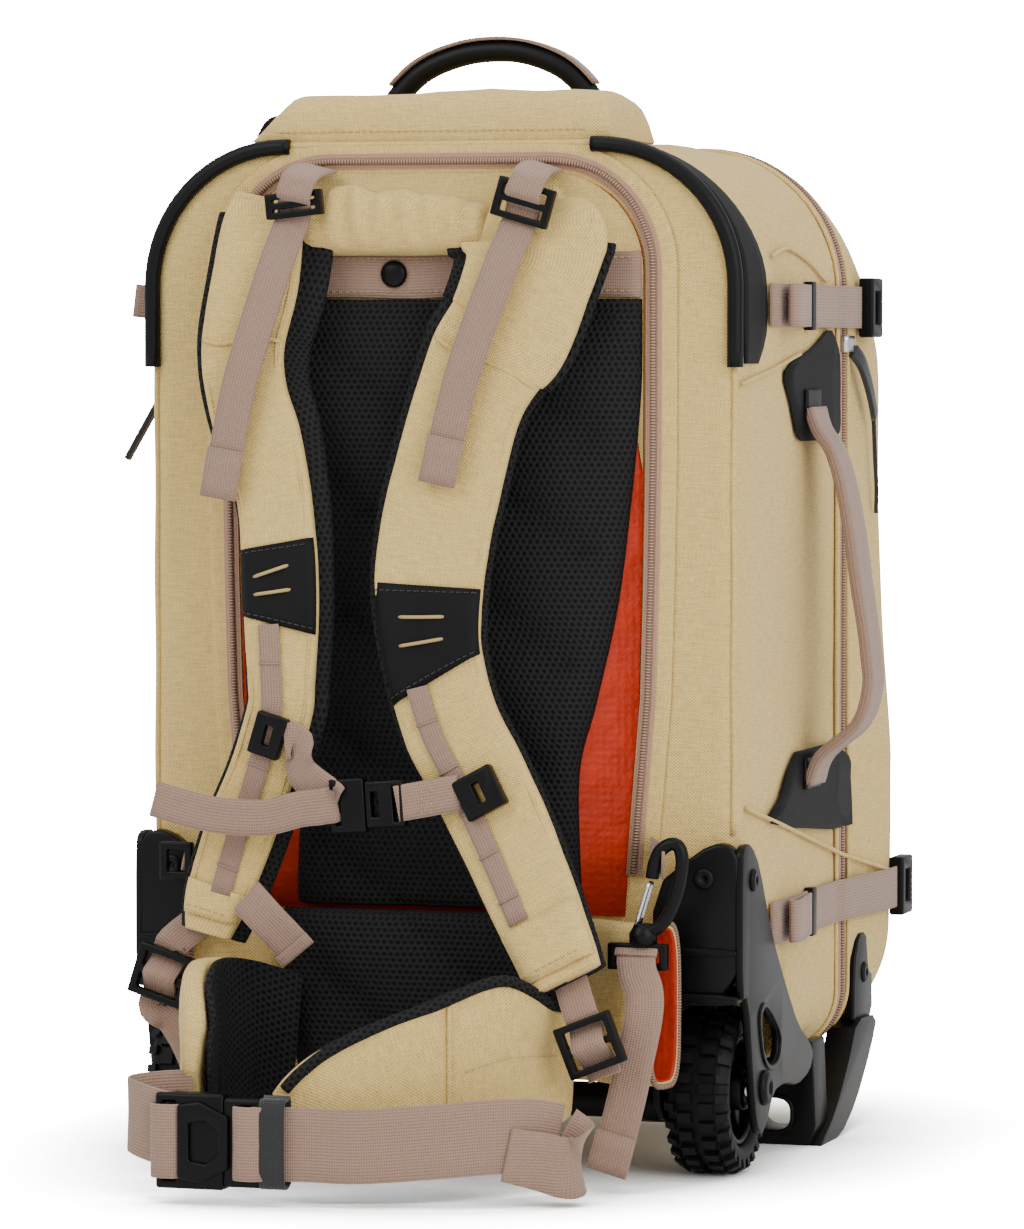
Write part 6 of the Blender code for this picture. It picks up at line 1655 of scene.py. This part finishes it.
def scaled_outline(points, share, centre):
    """An outline made larger or smaller about a centre."""
    return [(centre[0] + (y - centre[0]) * share, centre[1] + (z - centre[1]) * share) for y, z in points]


def rounded_outline(points, steps=3):
    """An outline with its corners rounded by cutting them twice."""
    for _ in range(steps):
        found = []
        for i, point in enumerate(points):
            follower = points[(i + 1) % len(points)]
            found.append((0.78 * point[0] + 0.22 * follower[0], 0.78 * point[1] + 0.22 * follower[1]))
            found.append((0.22 * point[0] + 0.78 * follower[0], 0.22 * point[1] + 0.78 * follower[1]))
        points = found
    return points


def across_slab(side, outline, start, end):
    """Two rings of an outline in the XZ plane, mirrored to a side, between two depths."""
    return [[Vector((side * x, y, z)) for x, z in outline] for y in (start, end)]


def build_housing(side, side_name):
    """A wheel housing: the side plate with its window, the front plate and the wall inside the wheel."""
    near, far = HALF + 0.0004, HALF + 0.0052
    low, high = (near, far) if side > 0 else (-far, -near)
    window = rounded_outline(HOUSING_WINDOW, 2)
    plate(f"housing_side_{side_name}", rounded_outline(HOUSING_OUTLINE, 1), low, high, 0.0013,
          replaced=(f"wheel_housing_{side_name}",), cuts=(window,))
    rim = scaled_outline(window, 1.20, (0.050, 0.078))
    low, high = (far - 0.001, far + 0.0012) if side > 0 else (-far - 0.0012, -far + 0.001)
    plate(f"housing_rim_{side_name}", rim, low, high, 0.0009,
          cuts=(scaled_outline(window, 1.02, (0.050, 0.078)),))
    turned_piece(f"housing_bolt_{side_name}", "rubber", (side * far, 0.011, 0.170),
                 [(0.0062, -0.001), (0.0066, 0.0009 * side), (0.0050, 0.0022 * side),
                  (0.0024, 0.0022 * side), (0.0020, 0.0008 * side)], "X")
    turned_piece(f"axle_cap_{side_name}", "rubber", (side * far, 0.036, 0.049),
                 [(0.0098, -0.002), (0.0104, 0.0014 * side), (0.0086, 0.0034 * side),
                  (0.0040, 0.0040 * side), (0.0034, 0.0024 * side)], "X")
    inner = 0.1295
    outline = [(inner, 0.104), (0.181, 0.104), (0.181, 0.182), (0.176, 0.1905), (0.168, 0.1925),
               (0.157, 0.1880), (inner, 0.166)]
    edge = inner - 0.001
    step = [(edge, 0.128), (0.1795, 0.128), (0.1795, 0.1325), (edge, 0.1325)]
    arch = [(edge, 0.1000), (0.1805, 0.1000), (0.1805, 0.1070), (edge, 0.1070)]
    for name, points, start, end, bevel in (("front", outline, -0.0118, -0.0006, 0.0022),
                                            ("step", step, -0.0135, -0.0100, 0.0008),
                                            ("arch", arch, -0.0150, 0.066, 0.0016)):
        rings = across_slab(side, rounded_outline(points, 1), start, end)
        bevelled(loft(f"housing_{name}_{side_name}", rings, "plastic", box=True), bevel)
    turned_piece(f"front_bolt_{side_name}", "rubber", (side * 0.160, -0.0118, 0.1720),
                 [(0.0058, 0.001), (0.0062, -0.0008), (0.0048, -0.0020), (0.0022, -0.0020),
                  (0.0018, -0.0006)])
    wall = rounded_outline([(-0.012, 0.0295), (0.068, 0.0295), (0.068, 0.106), (-0.012, 0.106)], 2)
    start, end = (inner, inner + 0.0045) if side > 0 else (-inner - 0.0045, -inner)
    plate(f"housing_wall_{side_name}", wall, start, end, 0.0012)
    turned_piece(f"axle_{side_name}", "steel", (side * WHEEL_OUT, AXLE_DEPTH, WHEEL_HEIGHT),
                 [(0.0036, -0.0245), (0.0040, -0.0240), (0.0040, 0.0240), (0.0036, 0.0245)], "X")


def build_foot(side, side_name):
    """A foot: the bolted plate, the leaning leg, the arch under the pack and the framed sole."""
    near = HALF + 0.0004

    def spans(low, high):
        return (near + low, near + high) if side > 0 else (-near - high, -near - low)

    outline = rounded_outline([(0.247, 0.056), (0.249, 0.098), (0.260, 0.1165), (0.276, 0.1165),
                               (0.292, 0.104), (0.295, 0.060)], 1)
    plate(f"foot_plate_{side_name}", outline, *spans(0.0, 0.0048), 0.0012, replaced=(f"foot_{side_name}",))
    leg = rounded_outline([(0.245, 0.066), (0.226, 0.044), (0.192, 0.016), (0.157, 0.0006), (0.157, 0.0),
                           (0.205, 0.0), (0.243, 0.016), (0.280, 0.044), (0.297, 0.064)], 1)
    plate(f"foot_leg_{side_name}", leg, *spans(-0.010, 0.0075), 0.0020)
    turned_piece(f"foot_bolt_{side_name}", "rubber", (side * (near + 0.0046), 0.272, 0.092),
                 [(0.0060, -0.001), (0.0064, 0.0008 * side), (0.0050, 0.0020 * side),
                  (0.0024, 0.0020 * side), (0.0020, 0.0006 * side)], "X")
    inner = near - 0.046
    outer = [(inner + 0.010, 0.0), (near + 0.001, 0.0), (near + 0.004, 0.012), (near + 0.002, 0.062),
             (near - 0.004, 0.062), (0.1628, 0.0565), (0.1530, 0.0512), (0.1415, 0.0494), (inner, 0.0494),
             (inner, 0.012)]
    window = rounded_outline([(inner + 0.0135, 0.0090), (near - 0.0115, 0.0090), (near - 0.0115, 0.0275),
                              (inner + 0.0115, 0.0275)], 2)
    middle = (near - 0.022, 0.0182)
    wide, narrow = scaled_outline(window, 1.26, middle), scaled_outline(window, 1.02, middle)
    for name, points, cut, start, end in (("frame", outer, window, 0.157, 0.187),
                                          ("rim", wide, narrow, 0.1552, 0.160)):
        made = loft(f"foot_{name}_{side_name}", across_slab(side, points, start, end), "plastic", box=True)
        cut_out(made, loft("cut", across_slab(side, cut, start - 0.02, end + 0.02), "plastic", box=True))
        bevelled(made, 0.0012)


def build_beam():
    """The beam between the wheel housings."""
    turned_piece("beam", "plastic", (0, AXLE_DEPTH, BEAM_HEIGHT),
                 [(0.0092, -0.1288), (0.0100, -0.1280), (0.0100, 0.1280), (0.0092, 0.1288)], "X", 40,
                 ("axle_beam",))
    for side, side_name in SIDES:
        turned_piece(f"beam_collar_{side_name}", "plastic", (side * 0.118, AXLE_DEPTH, BEAM_HEIGHT),
                     [(0.0104, -0.010), (0.0118, -0.0085), (0.0118, 0.0085), (0.0104, 0.010)], "X", 40)


# The studio


# Where the camera looks, in degrees from straight at the harness face and down from level
CAMERA_TURN = 17.308
CAMERA_PITCH = 2.48


def build_stage(settings):
    """A pale floor, soft lights and the camera."""
    bpy.ops.mesh.primitive_plane_add(size=60.0)
    floor = bpy.context.object
    floor.name = "studio_floor"
    paint = Nodes("floor", (0.90, 0.90, 0.90), 0.9)
    seen = paint.add("ShaderNodeLightPath").outputs["Is Camera Ray"]
    near = paint.add("ShaderNodeAmbientOcclusion", samples=8)
    near.inputs["Distance"].default_value = 0.16
    # Painted contact shadow: the floor's glow seen by the camera fades where ambient occlusion finds the
    # pack close by.
    shade = paint.maths("POWER", near.outputs["AO"], 5.0)
    paint.set("Emission Color", (1.0, 1.0, 1.0, 1.0))
    glow = paint.times(paint.times(seen, shade), settings.floor_glow)
    paint.link(glow, paint.shader.inputs["Emission Strength"])
    floor.data.materials.append(paint.material)
    world = bpy.data.worlds.new("studio")
    world.use_nodes = True
    background = world.node_tree.nodes["Background"]
    background.inputs[0].default_value = (1.0, 1.0, 1.0, 1.0)
    path = world.node_tree.nodes.new("ShaderNodeLightPath")
    level = world.node_tree.nodes.new("ShaderNodeMath")
    level.operation = "MULTIPLY_ADD"
    level.inputs[1].default_value = settings.backdrop
    level.inputs[2].default_value = settings.sky
    world.node_tree.links.new(path.outputs["Is Camera Ray"], level.inputs[0])
    world.node_tree.links.new(level.outputs[0], background.inputs[1])
    bpy.context.scene.world = world
    for name, place, power, size in (("key", (-1.6, -2.6, 2.6), settings.key, 2.2),
                                     ("fill", (2.4, -1.6, 1.5), settings.key, 2.4),
                                     ("top", (0.2, 0.3, 3.0), settings.key * 0.55, 2.6)):
        bpy.ops.object.light_add(type="AREA", location=place)
        lamp = bpy.context.object
        lamp.name = f"{name}_light"
        lamp.data.energy = power
        lamp.data.size = size
        aim = Vector((0, 0, 0.3)) - Vector(place)
        lamp.rotation_euler = aim.to_track_quat("-Z", "Y").to_euler()
    turn = math.radians(settings.azimuth)
    place = Vector((math.sin(turn) * settings.distance, -math.cos(turn) * settings.distance,
                    settings.height))
    place += Vector((SHIFT.x, SHIFT.y, 0))
    bpy.ops.object.camera_add(location=place)
    camera = bpy.context.object
    camera.data.lens = settings.lens
    camera.data.sensor_fit = "VERTICAL"
    camera.data.sensor_height = 36.0
    aim, pitch = math.radians(CAMERA_TURN), math.radians(CAMERA_PITCH)
    forward = Vector((-math.sin(aim) * math.cos(pitch), math.cos(aim) * math.cos(pitch), -math.sin(pitch)))
    camera.rotation_euler = forward.to_track_quat("-Z", "Y").to_euler()
    bpy.context.scene.camera = camera


# Operators and panel


def operator(name, label, doc, action):
    """An operator class that builds one group of pieces and stops with a message if it makes none."""

    def execute(self, context):
        before = len(bpy.data.objects)
        action(context.scene)
        if len(bpy.data.objects) <= before:
            raise RuntimeError(f"{label} made nothing")
        return {"FINISHED"}

    return type(f"BACKPACK_OT_{name}", (Operator,),
                {"__doc__": doc, "bl_idname": f"backpack.{name}", "bl_label": label,
                 "bl_options": {"REGISTER", "UNDO"}, "execute": execute,})


def both_sides(build):
    """Runs a build function for the left and the right side."""
    for side, side_name in SIDES:
        build(side, side_name)


STEPS = [
    operator("shell", "Shell", "Builds the soft shell", lambda scene: build_shell(scene.backpack_shell)),
    operator("main_zip", "Main Zip", "Builds the main zip", lambda scene: build_main_zip()),
    operator("top", "Top", "Builds the flap and the grab handle", lambda scene: build_top()),
    operator("guards", "Corner Guards", "Builds the corner guards", lambda scene: build_guards()),
    operator("sides", "Sides", "Builds the side straps and the side handle", lambda scene: build_sides()),
    operator("face", "Harness Face", "Builds the harness zip and its panel", lambda scene: build_face()),
    operator("back", "Back Pads", "Builds the pads, the sleeve and the yoke", lambda scene: build_back()),
    operator("straps", "Shoulder Straps", "Builds the shoulder straps",
             lambda scene: build_straps(scene.backpack_harness)),
    operator("belt", "Hip Belt", "Builds the hip belt", lambda scene: build_belt(scene.backpack_harness)),
    operator("lower", "Lower Straps", "Builds the lower straps",
             lambda scene: build_lower(scene.backpack_harness)),
    operator("hook", "Snap Hook", "Builds the snap hook", lambda scene: build_hook()),
    operator("wheels", "Wheels", "Builds both wheels",
             lambda scene: both_sides(lambda side, name: build_wheel(side, name, scene.backpack_stage))),
    operator("housings", "Housings", "Builds the wheel housings", lambda scene: both_sides(build_housing)),
    operator("feet", "Feet", "Builds both feet", lambda scene: both_sides(build_foot)),
    operator("beam", "Beam", "Builds the axle beam", lambda scene: build_beam()),
    operator("studio", "Studio", "Builds the floor, lights and camera",
             lambda scene: build_stage(scene.backpack_stage)),
]


class BACKPACK_PT_panel(Panel):
    """Sidebar panel with the sizes and a button for each step."""

    bl_label = "Backpack"
    bl_idname = "BACKPACK_PT_panel"
    bl_space_type = "VIEW_3D"
    bl_region_type = "UI"
    bl_category = "Backpack"

    def draw(self, context):
        scene = context.scene
        for group in (scene.backpack_shell, scene.backpack_harness, scene.backpack_look,
                      scene.backpack_stage):
            box = self.layout.box()
            for name in group.__annotations__:
                box.prop(group, name)
        for step in STEPS:
            self.layout.operator(step.bl_idname)


GROUPS = [("backpack_shell", ShellSettings), ("backpack_harness", HarnessSettings),
          ("backpack_look", LookSettings), ("backpack_stage", StageSettings)]


def register():
    """Adds the settings, the operators and the panel to Blender."""
    for name, group in GROUPS:
        bpy.utils.register_class(group)
        setattr(bpy.types.Scene, name, PointerProperty(type=group))
    for step in STEPS:
        bpy.utils.register_class(step)
    bpy.utils.register_class(BACKPACK_PT_panel)


def unregister():
    """Takes them out again."""
    bpy.utils.unregister_class(BACKPACK_PT_panel)
    for step in reversed(STEPS):
        bpy.utils.unregister_class(step)
    for name, group in reversed(GROUPS):
        delattr(bpy.types.Scene, name)
        bpy.utils.unregister_class(group)


def main():
    """Builds everything in order and notes the bounds before and after."""
    register()
    for step in STEPS:
        _, _, name = step.bl_idname.partition(".")
        getattr(bpy.ops.backpack, name)()
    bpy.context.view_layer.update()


if __name__ == "__main__":
    main()
